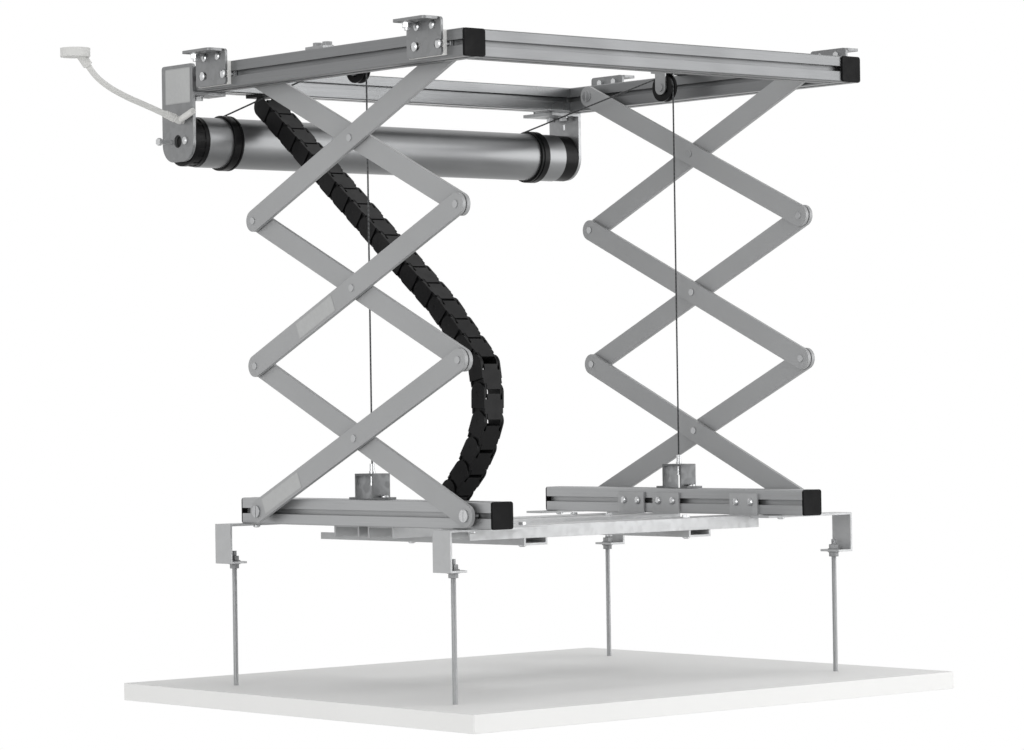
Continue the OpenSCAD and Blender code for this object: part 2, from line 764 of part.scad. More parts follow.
// Bolt of an arm's end that runs in a rail slot: head, spacer and a disc behind the lips.
// It points along +Z from the arm's far face, and reach is the way to the rail's face.
module slot_pivot(reach) {
    spacer = reach - arm_t;
    translate([0, 0, -slot_head_h - fit_gap / 2]) difference() {
        cylinder(r = slot_head_r, h = slot_head_h);
        translate([-slot_head_r - cut, -driver_w / 2, -cut])
            cube([2 * (slot_head_r + cut), driver_w, driver_deep + cut]);
    }
    translate([0, 0, driver_deep - slot_head_h])
        cylinder(d = pin_d, h = slot_head_h - driver_deep + reach - fit_gap / 2);
    translate([0, 0, arm_t + fit_gap / 2]) cylinder(r = slot_head_r * 0.8, h = spacer - fit_gap);
    translate([0, 0, reach - fit_gap])
        cylinder(r = slot_w / 2 - slider_clear, h = slot_lip + 2 * fit_gap + slider_clear);
    translate([0, 0, reach + slot_lip + fit_gap])
        cylinder(r = slot_cavity_w / 2 - fit_gap, h = slider_t);
}

// Bolt from an arm out into the top rail's slot
module top_pivot(s, y, inner) {
    x = inner ? inner_arm_x : outer_arm_x;
    color("gainsboro") translate([0, y, rail_z]) on_side(s) translate([x, 0, 0])
        along_x(1) slot_pivot(rail_in_x - x);
}

// Bolt from an arm in towards the bottom rail's slot
module bottom_pivot(s, y, inner) {
    x = (inner ? inner_arm_x : outer_arm_x) + arm_t;
    color("gainsboro") translate([0, y, bottom_z]) on_side(s) translate([x, 0, 0])
        along_x(-1) slot_pivot(x - bottom_out_x);
}

last_level = 2;

// Outer arm of a stage: from the front at the top to the rear at the bottom, with its pins
module outer_arm(s, level) {
    z = rail_z - level * stage;
    color("silver") arm(s, outer_arm_x, pivot_fy, z, true);
    arm_pin(s, pivot_cy, z - stage / 2);
    if (level < last_level) arm_pin(s, pivot_ry, z - stage);
    else bottom_pivot(s, pivot_ry, false);
}

// Inner arm of a stage: from the rear at the top to the front at the bottom, with its pins
module inner_arm(s, level) {
    z = rail_z - level * stage;
    color("silver") arm(s, inner_arm_x, pivot_ry, z, false);
    if (level == 0) top_pivot(s, pivot_ry, true);
    if (level < last_level) arm_pin(s, pivot_fy, z - stage);
}

module left_upper_outer_arm() { outer_arm(-1, 0); }

module left_upper_inner_arm() { inner_arm(-1, 0); }

module left_middle_outer_arm() { outer_arm(-1, 1); }

module left_middle_inner_arm() { inner_arm(-1, 1); }

module left_lower_outer_arm() { outer_arm(-1, 2); }

module left_lower_inner_arm() { inner_arm(-1, 2); }

module right_upper_outer_arm() { outer_arm(1, 0); }

module right_upper_inner_arm() { inner_arm(1, 0); }

module right_middle_outer_arm() { outer_arm(1, 1); }

module right_middle_inner_arm() { inner_arm(1, 1); }

module right_lower_outer_arm() { outer_arm(1, 2); }

module right_lower_inner_arm() { inner_arm(1, 2); }

module top_pivot_bolts() { for (s = [-1, 1]) top_pivot(s, pivot_fy, false); }

module bottom_pivot_bolts() { for (s = [-1, 1]) bottom_pivot(s, pivot_fy, true); }

/* Platform */

module bottom_rail(s) {
    color("silver") translate([s * bottom_x, bottom_y, bottom_z]) along_y()
        linear_extrude(bottom_len) rail_section();
}

module left_bottom_rail() { bottom_rail(-1); }

module right_bottom_rail() { bottom_rail(1); }

module bottom_end_caps() {
    color("black") both_sides() {
        translate([$s * bottom_x, bottom_y - cap_t, bottom_z]) along_y() end_cap();
        translate([$s * bottom_x, bottom_y + bottom_len + cap_t, bottom_z])
            rotate([90, 0, 0]) end_cap();
    }
}

// Middles of the cross bars, from the front ends of the bottom rails
bar_setbacks = [95, 229, 291];
bar_tab_h = 25;
tab_screw_share = 0.27;

function bar_ys() = [for (d = bar_setbacks) bottom_y + d];

// Channel open at the bottom, with its ends turned up against the rails' inner faces
module cross_bars() {
    color("gainsboro") for (y = bar_ys()) translate([0, y, 0]) difference() {
        union() {
            translate([-bottom_in_x, -bar_w / 2, bottom_low_z - sheet_t])
                cube([2 * bottom_in_x, bar_w, sheet_t]);
            for (y2 = [-bar_w / 2, bar_w / 2 - sheet_t])
                translate([-bottom_in_x, y2, bar_low_z]) cube([2 * bottom_in_x, sheet_t, bar_h]);
            for (x = [-bottom_in_x, bottom_in_x - sheet_t])
                translate([x, -bar_w / 2, bottom_low_z - sheet_t])
                    cube([sheet_t, bar_w, bar_tab_h + sheet_t]);
        }
        for (x = [-bottom_in_x - cut, bottom_in_x - sheet_t - cut], y2 = [-1, 1])
            translate([x, y2 * bar_w * tab_screw_share, bottom_z]) along_x(1)
                cylinder(r = screw_r * 1.1, h = sheet_t + 2 * cut);
        for (x = [-1, 1]) translate([x * strip_spacing / 2, 0, bottom_low_z - sheet_t - cut])
            cylinder(r = screw_r * 1.1, h = sheet_t + 2 * cut);
    }
}

strip_h = 8;
strip_y = bar_ys()[0] - bar_w / 2;
strip_low_z = bar_low_z - strip_h;

// Channels under the cross bars that carry the load
module mounting_strips() {
    color("gainsboro") for (x = [-1, 1])
        translate([x * strip_spacing / 2, strip_y, 0]) difference() {
            translate([-strip_w / 2, 0, strip_low_z]) cube([strip_w, strip_len, strip_h]);
            translate([-strip_w / 2 + sheet_t, -cut, strip_low_z + sheet_t])
                cube([strip_w - 2 * sheet_t, strip_len + 2 * cut, strip_h]);
            for (y = [-1, 1])
                translate([0, strip_len / 2 + y * slot_spacing / 2, strip_low_z - cut])
                    linear_extrude(sheet_t + 2 * cut) slot_shape(mount_slot_l, mount_slot_w);
            for (y = bar_ys()) translate([0, y - strip_y, strip_low_z - cut])
                cylinder(r = screw_r * 1.1, h = sheet_t + 2 * cut);
        }
}

// Screws of the cross bars, strips, bridges and hangers
module platform_screws() {
    strip_grip = bottom_low_z - strip_low_z;
    out = anchor_gap / 2 + anchor_t + anchor_foot / 2;
    color("whitesmoke") {
        for (y = bar_ys(), y2 = [-1, 1]) both_sides()
            translate([$s * (bottom_in_x - sheet_t), y + y2 * bar_w * tab_screw_share, bottom_z])
                along_x(-$s) pan_screw(sheet_t + slot_lip + slot_nut_t);
        for (y = bar_ys(), x = [-1, 1])
            translate([x * strip_spacing / 2, y, strip_low_z]) rotate([180, 0, 0])
                nutted_screw(strip_grip);
        for (y = [-out, out]) both_sides()
            translate([$s * bottom_x, rope_y + y, bottom_top_z + anchor_t])
                pan_screw(anchor_t + slot_lip + slot_nut_t);
        for (y = hanger_ys()) both_sides()
            translate([$s * bottom_x, y[0], bottom_low_z - sheet_t]) rotate([180, 0, 0])
                pan_screw(sheet_t + slot_lip + slot_nut_t);
    }
}

// Hangers: how far the rods stand outside the bottom rails, left and right
rod_out_left = 12;
rod_out_right = 72;
rod_inset = 16;
hanger_front = 50;
hanger_rear_in = -1;
hanger_rear_screw = 7;

// For each end of a rail: where its screw sits, and the middle of its hanger
function hanger_ys() = [
    [bottom_y + hanger_front, bottom_y + hanger_front],
    [bottom_y + bottom_len - hanger_rear_screw, bottom_y + bottom_len - hanger_rear_in]];

function rod_x(s) = s * (bottom_out_x + (s < 0 ? rod_out_left : rod_out_right));

// Strip under a rail's end, bent down outside it and turned in again under the rod's nuts
module panel_hanger(s, y, screw_y) {
    outer = abs(rod_x(s)) + rod_inset;
    foot_z = bottom_low_z - hanger_drop;
    translate([0, y, 0]) on_side(s) difference() {
        union() {
            translate([outer - hanger_len, -hanger_w / 2, bottom_low_z - sheet_t])
                cube([hanger_len, hanger_w, sheet_t]);
            translate([outer - sheet_t, -hanger_w / 2, foot_z])
                cube([sheet_t, hanger_w, hanger_drop]);
            translate([outer - hanger_foot, -hanger_w / 2, foot_z])
                cube([hanger_foot, hanger_w, sheet_t]);
        }
        translate([abs(rod_x(s)), 0, foot_z - cut])
            cylinder(r = rod_d / 2 + fit_gap, h = sheet_t + 2 * cut);
        translate([bottom_x, screw_y - y, bottom_low_z - sheet_t - cut])
            cylinder(r = screw_r * 1.1, h = sheet_t + 2 * cut);
    }
}

module panel_hangers() {
    color("gainsboro") for (y = hanger_ys()) both_sides() panel_hanger($s, y[1], y[0]);
}

rod_above = 12;
rod_bite = 14;
panel_top_z = bottom_low_z - panel_drop;
foot_z = bottom_low_z - hanger_drop;

module threaded_rods() {
    color("silver") for (y = hanger_ys()) both_sides()
        translate([rod_x($s), y[1], panel_top_z - rod_bite])
            cylinder(d = rod_d, h = foot_z + sheet_t + rod_above - panel_top_z + rod_bite);
}

// Nuts and washers above and below each hanger's foot
module rod_nuts() {
    rod_nut_h = 5;
    rod_nut_r = 5.8;
    color("whitesmoke") for (y = hanger_ys()) both_sides()
        translate([rod_x($s), y[1], foot_z]) difference() {
            for (z = [sheet_t, -washer_t]) translate([0, 0, z]) {
                cylinder(r = washer_r, h = washer_t);
                translate([0, 0, z > 0 ? washer_t : -rod_nut_h])
                    cylinder(r = rod_nut_r, h = rod_nut_h, $fn = 6);
            }
            translate([0, 0, -rod_nut_h * 2])
                cylinder(d = rod_d + 2 * pin_clear, h = rod_nut_h * 4);
        }
}

// Ceiling panel, with blind holes in its top for the rods
module ceiling_panel() {
    mid_x = (rod_x(1) + rod_x(-1)) / 2 + panel_side_shift;
    mid_y = (hanger_ys()[0][1] + hanger_ys()[1][1]) / 2 + panel_shift;
    edge_r = 1.5;
    color("white") difference() {
        translate([mid_x, mid_y, panel_top_z - panel_t])
            linear_extrude(panel_t) rounded_square(panel_w, panel_d, edge_r);
        for (y = hanger_ys()) both_sides()
            translate([rod_x($s), y[1], panel_top_z - rod_bite])
                cylinder(d = rod_d + 2 * pin_clear, h = rod_bite + cut);
    }
}

/* Cable chain */

// Slope of each moving piece of the chain as drawn: 0 runs forward, 90 straight down
chain_slopes = [37.5, 44, 80, 91, 114, 125, 136.5];
// Links in each moving piece of the chain, the last one closing the bend
chain_counts = [13, 3, 1, 1, 1, 1, 2, 2];
lower_run_links = 8;
chain_x = -bottom_in_x + sheet_t + fit_gap + link_w / 2 + screw_head_h;
chain_behind_beam = 3;
chain_drop = 14.6;
chain_y = back_beam_y + chain_behind_beam;
chain_z = rail_low_z - chain_drop;
lower_run_z = bottom_low_z + link_h / 2;

function heading(a) = [-cos(a), -sin(a)];

// Start of each moving piece, by adding up the pieces before it
function chain_at(i) = i == 0 ? [chain_y, chain_z]
    : chain_at(i - 1) + chain_counts[i - 1] * link_pitch * heading(chain_slopes[i - 1]);

// Slope of the last piece, which ends at the height of the lower run
function last_slope() =
    180 - asin((chain_at(7)[1] - lower_run_z) / (chain_counts[7] * link_pitch));

function slope(i) = i < 7 ? chain_slopes[i] : i == 7 ? last_slope() : 180;

function lower_run_start() =
    chain_at(7) + chain_counts[7] * link_pitch * heading(last_slope());

link_pin_r = 2.4;

// One link along +X of its own plane, from the pivot at its origin to the next pivot. Its
// outer side in the bend is closed by a lid. The far end of the last one is a slim tongue, and
// the sides of the first one start square behind its pivot, so that the two pass each other.
module chain_link(last = false, first = false) {
    wide = link_w / 2;
    narrow = wide - link_wall - fit_gap;
    inside = narrow - link_wall - fit_gap;
    narrow_h = link_h - 4 * fit_gap;
    tongue_h = link_h * 0.44;
    web_share = 0.1;
    bar_share = 0.5;
    mid_share = first ? 0.56 : 0.5;
    start_share = 0.1;
    lid_gap = 1.4;
    mid = link_pitch * mid_share;
    web = link_pitch * web_share;
    side_from = first ? link_pitch * start_share : 0;
    lid_from = first ? mid : lid_gap;
    lid_to = last ? mid : link_pitch - lid_gap;
    for (m = [0, 1]) mirror([0, 0, m]) {
        translate([0, 0, wide - link_wall]) difference() {
            linear_extrude(link_wall) {
                if (!first) circle(d = link_h);
                translate([side_from, -link_h / 2]) square([mid + web / 2 - side_from, link_h]);
            }
            translate([0, 0, -cut]) cylinder(r = link_pin_r + pin_clear, h = link_wall + 2 * cut);
        }
        translate([0, 0, narrow - link_wall]) linear_extrude(link_wall)
            if (last) {
                translate([link_pitch, 0]) circle(d = tongue_h);
                translate([mid - web / 2, -tongue_h / 2])
                    square([link_pitch - mid + web / 2, tongue_h]);
            } else {
                translate([link_pitch, 0]) circle(d = narrow_h);
                translate([mid - web / 2, -narrow_h / 2])
                    square([link_pitch - mid + web / 2, narrow_h]);
            }
        translate([mid - web / 2, -link_h / 2, narrow - link_wall])
            cube([web, link_h, wide - narrow + link_wall]);
        if (!last) translate([link_pitch, 0, narrow - link_wall / 2])
            cylinder(r = link_pin_r, h = link_wall * 1.5 + fit_gap / 2);
    }
    for (y = [-link_h / 2, link_h / 2 - link_wall])
        translate([link_pitch * (1 - bar_share) / 2, y, -wide + link_wall / 2])
            cube([link_pitch * bar_share, link_wall, link_w - link_wall]);
    translate([lid_from, -link_h / 2, -inside]) cube([lid_to - lid_from, link_wall, 2 * inside]);
}

// A straight row of links from a point, along a slope
module chain_piece(at, a, count, open_end = false, open_start = false) {
    color("black") translate([chain_x, at[0], at[1]]) rotate([a + 180, 0, 0])
        rotate([90, 0, 90]) for (i = [0:count - 1]) translate([i * link_pitch, 0, 0])
            chain_link(last = open_end && i == count - 1, first = open_start && i == 0);
}

module chain_body(i) { chain_piece(chain_at(i), slope(i), chain_counts[i], i == 7); }

module chain_upper_run() { chain_body(0); }

module chain_short_run() { chain_body(1); }

module chain_link_1() { chain_body(2); }

module chain_link_2() { chain_body(3); }

module chain_link_3() { chain_body(4); }

module chain_link_4() { chain_body(5); }

module chain_link_pair() { chain_body(6); }

module chain_lower_bend() { chain_body(7); }

module chain_lower_run() {
    chain_piece(lower_run_start(), 180, lower_run_links, open_start = true);
}

// Plate under the back beam, with two lugs and pins for the first link
module chain_top_anchor() {
    narrow = link_w / 2 - link_wall - fit_gap;
    plate = 3;
    len = profile * 1.1;
    color("black") translate([chain_x, 0, 0]) {
        translate([-link_w / 2, chain_y - profile * 0.2, rail_low_z - plate])
            cube([link_w, len, plate]);
        for (m = [-1, 1]) on_side(m) {
            translate([narrow - link_wall, chain_y, chain_z]) along_x(1) linear_extrude(link_wall) {
                circle(d = link_h * 0.8);
                translate([-(rail_low_z - chain_z), -link_h * 0.2])
                    square([rail_low_z - chain_z, link_h * 0.6]);
            }
            translate([narrow - link_wall / 2, chain_y, chain_z]) along_x(1)
                cylinder(r = link_pin_r, h = link_wall * 1.5 + fit_gap / 2);
        }
    }
}

/* Power cord */

// Middle line of the cord, from the relief at the motor plate up to the ceiling fitting
cord_route = [
    [-330, 243, -69.5], [-337.1, 243, -67.2], [-344.1, 243, -64.8],
    [-351.2, 243, -62.5], [-358.3, 243, -60.2], [-365.3, 243, -57.9],
    [-372.4, 243, -55.7], [-379.5, 243, -53.3], [-386.5, 243, -50.7],
    [-393.4, 243, -48], [-400.2, 243, -45.1], [-406.9, 243, -41.8],
    [-413.3, 243, -38.2], [-419.5, 243, -34.1], [-425.2, 243, -29.5],
    [-430.3, 243, -24.2], [-435, 243, -18.5]];
// A ring of the cord's surface stands at every second point
ring_step = 2;
cord_sides = 12;
cord_last = len(cord_route) - 1;
cord_dir = cord_route[1] - cord_route[0];
cord_end_dir = cord_route[cord_last] - cord_route[cord_last - 1];
relief_l = 22;

function unit(v) = v / norm(v);

// Direction of the cord at a point of its route
function cord_tangent(i) = unit(
    i == 0 ? cord_route[1] - cord_route[0]
    : i == cord_last ? cord_route[i] - cord_route[i - 1]
    : cord_route[i + 1] - cord_route[i - 1]);

function cord_ring(i) = let (
    t = cord_tangent(i), side = [0, 1, 0], up = cross(side, t))
    [for (k = [0:cord_sides - 1]) let (a = k * 360 / cord_sides)
        cord_route[i] + cord_d / 2 * (cos(a) * side + sin(a) * up)];

module power_cord() {
    rings = cord_last / ring_step + 1;
    points = [for (i = [0:rings - 1]) each cord_ring(i * ring_step)];
    walls = [for (i = [0:rings - 2], k = [0:cord_sides - 1]) let (
        a = i * cord_sides + k, b = i * cord_sides + (k + 1) % cord_sides)
        each [[a, b, b + cord_sides], [a, b + cord_sides, a + cord_sides]]];
    first = [for (k = [1:cord_sides - 2]) [0, k + 1, k]];
    at = (rings - 1) * cord_sides;
    final = [for (k = [1:cord_sides - 2]) [at, at + k, at + k + 1]];
    color("white") polyhedron(points, concat(walls, first, final), convexity = 4);
}

// Slope of a direction in the plane of the cord, as a turn about Y from straight up
function tilt(v) = atan2(v[0], v[2]);

// Sleeve that leads the cord over the motor plate from its front edge, and the tapered
// relief where the cord turns away from the plate
module cord_relief() {
    sleeve_wall = 0.3;
    sleeve_r = cord_d / 2 + sleeve_wall;
    elbow_r = cord_d * 0.66;
    sleeve_run = 28;
    sleeve_rise = 9;
    elbow = cord_route[0] - unit(cord_dir) * relief_l;
    run = [0, -sleeve_run, sleeve_rise];
    color("white") {
        translate(elbow) rotate([0, tilt(cord_dir), 0])
            cylinder(r1 = elbow_r, r2 = sleeve_r, h = relief_l, $fn = 32);
        translate(elbow) rotate([0, 90, 0])
            cylinder(r = sleeve_r, h = -frame_w / 2 - plate_t - elbow[0]);
        translate(elbow) sphere(r = elbow_r, $fn = 32);
        translate(elbow) rotate([-atan2(run[1], run[2]), 0, 0])
            cylinder(r = sleeve_r, h = norm(run));
    }
}

// Round cover on the ceiling that the cord goes into
module ceiling_cord_fitting() {
    cover_r = 17;
    cover_h = 10;
    neck_r = cord_d * 0.8;
    tip = cord_route[cord_last];
    neck_l = (-tip[2] - cover_h / 2) / unit(cord_end_dir)[2];
    at = tip + unit(cord_end_dir) * neck_l;
    color("white") {
        translate([at[0] - neck_r, at[1], -cover_h]) cylinder(r = cover_r, h = cover_h);
        translate(tip) rotate([0, tilt(cord_end_dir), 0])
            cylinder(r = neck_r, h = neck_l, $fn = 32);
    }
}

left_top_rail();
right_top_rail();
front_beam();
back_beam();
rail_end_caps();
ceiling_brackets();
bracket_spacers();
frame_bolts();
ceiling_bolts();
top_pivot_bolts();
motor_bracket();
idler_bracket();
tubular_motor();
pulley_brackets();
rope_runs();
rope_drops();
chain_top_anchor();
cord_relief();
power_cord();
ceiling_cord_fitting();
drum_tube();
drive_crown();
drum_idler_plug();
rope_collars();
left_pulley();
right_pulley();
left_upper_outer_arm();
left_upper_inner_arm();
left_middle_outer_arm();
left_middle_inner_arm();
left_lower_outer_arm();
left_lower_inner_arm();
right_upper_outer_arm();
right_upper_inner_arm();
right_middle_outer_arm();
right_middle_inner_arm();
right_lower_outer_arm();
right_lower_inner_arm();
left_bottom_rail();
right_bottom_rail();
bottom_end_caps();
bottom_pivot_bolts();
rope_anchors();
rope_ferrules();
cross_bars();
mounting_strips();
platform_screws();
panel_hangers();
threaded_rods();
rod_nuts();
ceiling_panel();
chain_upper_run();
chain_short_run();
chain_link_1();
chain_link_2();
chain_link_3();
chain_link_4();
chain_link_pair();
chain_lower_bend();
chain_lower_run();
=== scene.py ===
import math

import bmesh
import bpy
from mathutils import Matrix, Vector


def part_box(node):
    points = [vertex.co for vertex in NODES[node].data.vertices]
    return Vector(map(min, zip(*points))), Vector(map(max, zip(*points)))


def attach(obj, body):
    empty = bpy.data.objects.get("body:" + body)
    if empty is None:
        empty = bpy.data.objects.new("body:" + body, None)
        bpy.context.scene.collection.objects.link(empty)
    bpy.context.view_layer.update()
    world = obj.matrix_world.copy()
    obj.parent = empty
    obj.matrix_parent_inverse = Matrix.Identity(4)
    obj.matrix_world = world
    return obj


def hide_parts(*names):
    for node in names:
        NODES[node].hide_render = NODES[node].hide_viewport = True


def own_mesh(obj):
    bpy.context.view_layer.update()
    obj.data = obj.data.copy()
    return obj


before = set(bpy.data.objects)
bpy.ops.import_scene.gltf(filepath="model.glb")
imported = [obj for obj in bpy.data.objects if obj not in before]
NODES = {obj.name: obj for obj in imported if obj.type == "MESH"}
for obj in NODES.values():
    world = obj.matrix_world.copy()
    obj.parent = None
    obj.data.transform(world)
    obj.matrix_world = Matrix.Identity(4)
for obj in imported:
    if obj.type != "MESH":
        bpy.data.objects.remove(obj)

bl_info = {
    "name": "Projector Lift",
    "version": (1, 0, 0),
    "blender": (4, 5, 0),
    "location": "View3D > Sidebar > Lift",
    "description": "Finishes and fine parts of a ceiling lift, built around its packed frame",
    "category": "Object",
}

# Bring the imported model up to date before anything is added
bpy.context.view_layer.update()

# One millimetre in metres
MM = 0.001

# Points closer than this are one, in a fine mesh and in a stacked one, and points this near to a
# cutting plane lie in it
FINE_MERGE, STACK_MERGE = 0.001 * MM, 0.005 * MM
CUT_REACH = 0.0001 * MM

# Middle line of the power cord in millimetres, from its relief to the cover on the ceiling
CORD_ROUTE = [
    (-330, 243, -69.5), (-337.1, 243, -67.2), (-344.1, 243, -64.8), (-351.2, 243, -62.5),
    (-358.3, 243, -60.2), (-365.3, 243, -57.9), (-372.4, 243, -55.7), (-379.5, 243, -53.3),
    (-386.5, 243, -50.7), (-393.4, 243, -48), (-400.2, 243, -45.1), (-406.9, 243, -41.8),
    (-413.3, 243, -38.2), (-419.5, 243, -34.1), (-425.2, 243, -29.5), (-430.3, 243, -24.2),
    (-435, 243, -18.5)]

# Outer face of the motor plate, in millimetres
PLATE_FACE = -303.5

# Where the inner and the outer arms lie, in millimetres from the middle of the lift
INNER_ARMS, OUTER_ARMS = 256.75, 263.25
ARM_HALF = 2.3

# Part of a pattern's range that is stretched to the whole range asked for: most of a noise is in it
NOISE_LOW, NOISE_HIGH = 0.3, 0.7

# Stretch of a noise that draws its grains out into lines along one axis
ALONG_X, ALONG_Y = (0.012, 1, 1), (1, 0.012, 1)

# Edges that turn by more stay sharp
SHARP_TURN = math.radians(38)

# Camera: place in millimetres, turn, pitch and roll in degrees, focal length and width in pixels
CAMERA_PLACE = (-2646.6, -3092.2, -411.2)
CAMERA_TURNS = (40.413, 0.462, -0.873)
FOCAL_PIXELS, PICTURE_PIXELS = 3487, 1024

# Bare labels: the body each rides on, its middle, length and height in millimetres, and its
# slope in degrees
LABELS = {
    "motor_plate_label": ("top_frame", (-304.2, 252.6, -35.5), 50, 41, 0),
    "arm_label_middle": ("left_middle_outer", (-265.7, 45, -310.9), 74, 20, -24.5),
    "arm_label_lower": ("left_lower_outer", (-265.7, 114, -509.9), 77, 20, -24.5),
}

# Stage in metres: the point that the lamps look at, the floor's height and half its width, and
# where it starts and ends to fade
LIFT_MIDDLE = (0, 0, -0.4)
FLOOR_Z, FLOOR_HALF = -1.3, 8
FADE_FROM, FADE_TO = 0.9, 2.6

# The floor's colour, and the strength of the room's light beside the lamps
FLOOR_COLOUR = "#F4F4F3"
ROOM_LIGHT = 0.52

# Soft lamps: place and width in metres, and power in watts
LAMPS = {
    "key_lamp": ((2.9, -3.4, 0.3), 3.4, 100),
    "left_lamp": ((-6.6, -2.0, -0.1), 4.0, 190),
    "top_lamp": ((0.2, -0.8, 3.6), 2.6, 40),
}


def linear(code):
    """Linear RGBA of an sRGB hex colour."""
    parts = [int(code[i:i + 2], 16) / 255 for i in (1, 3, 5)]
    return (*[c / 12.92 if c <= 0.04045 else ((c + 0.055) / 1.055) ** 2.4 for c in parts], 1.0)


# Sizes and colours


def length(name, description, default):
    """A length property, given in millimetres and kept in metres."""
    return bpy.props.FloatProperty(
        name=name, description=description, default=default * MM, min=0.0, unit="LENGTH")


def colour(name, description, code):
    """A colour property with the default of an sRGB hex colour."""
    return bpy.props.FloatVectorProperty(
        name=name, description=description, default=linear(code), size=4, min=0.0, max=1.0,
        subtype="COLOR")


class LiftSizes(bpy.types.PropertyGroup):
    """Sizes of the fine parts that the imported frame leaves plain."""

    cord_diameter: length("Cord diameter", "Diameter of the power cord", 7)
    relief_rings: bpy.props.IntProperty(
        name="Relief rings", description="Rings moulded round the cord's tapered relief",
        default=5, min=1, max=8)
    rope_diameter: length("Rope diameter", "Diameter of the wire ropes", 2)
    rope_lay: length("Rope lay", "Length in which a strand goes once round the rope", 13)
    rod_diameter: length("Rod diameter", "Diameter of the threaded rods", 6)
    thread_pitch: length("Thread pitch", "Rise of the rods' thread in one turn", 1.25)
    profile: length("Profile", "Width of the slotted rails", 30)
    cap_thickness: length("Cap thickness", "Thickness of the moulded end caps", 2.4)
    cap_edge: length("Cap edge", "Radius of the end caps' outer edge", 0.8)
    label_thickness: length("Label thickness", "Thickness of the bare labels", 0.15)


class LiftColours(bpy.types.PropertyGroup):
    """Base colours of the finishes."""

    aluminium: colour("Anodised aluminium", "Side rails of the frame", "#7E7F80")
    # A lighter copy of the side rails' aluminium: painted light, for the light that the platform's
    # rails catch from below
    painted_light_rail_aluminium: colour("Pale anodised aluminium", "Rails of the platform", "#A6A7A8")
    bright_aluminium: colour("Bright aluminium", "The two beams across the frame", "#727374")
    arm: colour("Arm coat", "Grey coat of the scissor arms", "#9E9FA0")
    bracket: colour("Bracket zinc", "Ceiling brackets and motor plate", "#828384")
    pale_sheet: colour("Pale sheet", "Cross bars, strips and hangers", "#AFB0B1")
    steel: colour("Zinc plate", "Screws, nuts, pins and rods", "#C4C5C6")
    tube: colour("Tube steel", "Drum tube", "#868788")
    nylon: colour("Black nylon", "Chain, caps, pulleys and collars", "#0D0D0E")
    white_plastic: colour("White plastic", "Spacers behind the brackets", "#ECECEA")
    cord: colour("Cord sheath", "Cord, its relief and the cover on the ceiling", "#D3D3D1")
    board: colour("Painted board", "Ceiling panel", "#E9E9E8")
    label: colour("Bare label", "Label on the motor plate and on two arms", "#AEAFAF")
    label_rim: colour("Label rim", "Thin rim round the bare labels", "#A2A3A3")
    plate: colour("Plate zinc", "Idler bracket and pulley brackets", "#939495")
    bridge: colour("Bridge zinc", "Bridges that hold the ropes on the platform", "#636465")
    wire: colour("Rope wire", "Wire ropes", "#4A4B4C")


# Node and mesh helpers


def add(tree, kind, inputs=None, **settings):
    """Adds a node, sets its properties, and gives each input a value or another node's output."""
    node = tree.nodes.new("ShaderNode" + kind)
    for key, value in settings.items():
        setattr(node, key, value)
    for key, value in (inputs or {}).items():
        if isinstance(value, bpy.types.NodeSocket):
            tree.links.new(value, node.inputs[key])
        else:
            node.inputs[key].default_value = value
    return node


def new_material(name):
    """An empty node material and its tree."""
    material = bpy.data.materials.new(name)
    material.use_nodes = True
    material.node_tree.nodes.clear()
    return material, material.node_tree


def grain(tree, size, stretch=(1, 1, 1), detail=2.0):
    """Noise with grains of a size in millimetres, drawn out where stretch is under 1."""
    place = add(tree, "TexCoord")
    drawn = add(tree, "Mapping", {"Vector": place.outputs["Object"], "Scale": stretch})
    noise = add(tree, "TexNoise", {
        "Vector": drawn.outputs["Vector"], "Scale": 1 / (size * MM), "Detail": detail})
    return noise.outputs[0]


def tinted(tree, base, pattern, share):
    """The base colour, lightened and darkened by a share of itself as the pattern goes."""
    amount = add(tree, "MapRange", {
        "Value": pattern, "From Min": NOISE_LOW, "From Max": NOISE_HIGH, "To Min": 0.0,
        "To Max": 1.0})
    dark = [c * (1 - share) for c in base[:3]] + [1.0]
    light = [min(1.0, c * (1 + share)) for c in base[:3]] + [1.0]
    return add(tree, "Mix", {0: amount.outputs[0], 6: dark, 7: light},
               data_type="RGBA").outputs[2]


def ranged(tree, pattern, low, high):
    """The pattern moved to run from low to high."""
    moved = add(tree, "MapRange", {
        "Value": pattern, "From Min": NOISE_LOW, "From Max": NOISE_HIGH, "To Min": low,
        "To Max": high})
    return moved.outputs[0]


def relief(tree, pattern, depth, edge):
    """A normal that raises the pattern by a depth and rounds edges by a radius, in millimetres."""
    raised = {"Height": pattern, "Distance": depth * MM, "Strength": 1.0}
    if edge:
        raised["Normal"] = add(tree, "Bevel", {"Radius": edge * MM}, samples=6).outputs[0]
    return add(tree, "Bump", raised).outputs[0]


def blended(tree, share, low, high):
    """A colour between two, by a share."""
    return add(tree, "Mix", {0: share, 6: low, 7: high}, data_type="RGBA").outputs[2]


def within(tree, across, middle, half):
    """1 where a coordinate lies within half of the middle, in millimetres, and 0 elsewhere."""
    return add(tree, "Math", {0: across, 1: middle * MM, 2: half * MM},
               operation="COMPARE").outputs[0]


def shade(tree, inputs):
    """The surface shader and the output."""
    shader = add(tree, "BsdfPrincipled", inputs)
    add(tree, "OutputMaterial", {"Surface": shader.outputs[0]})


def finish_nodes(names, material):
    """Gives CAD nodes a finish, and leaves their meshes as they are."""
    for name in names:
        for slot in NODES[name].material_slots:
            slot.material = material


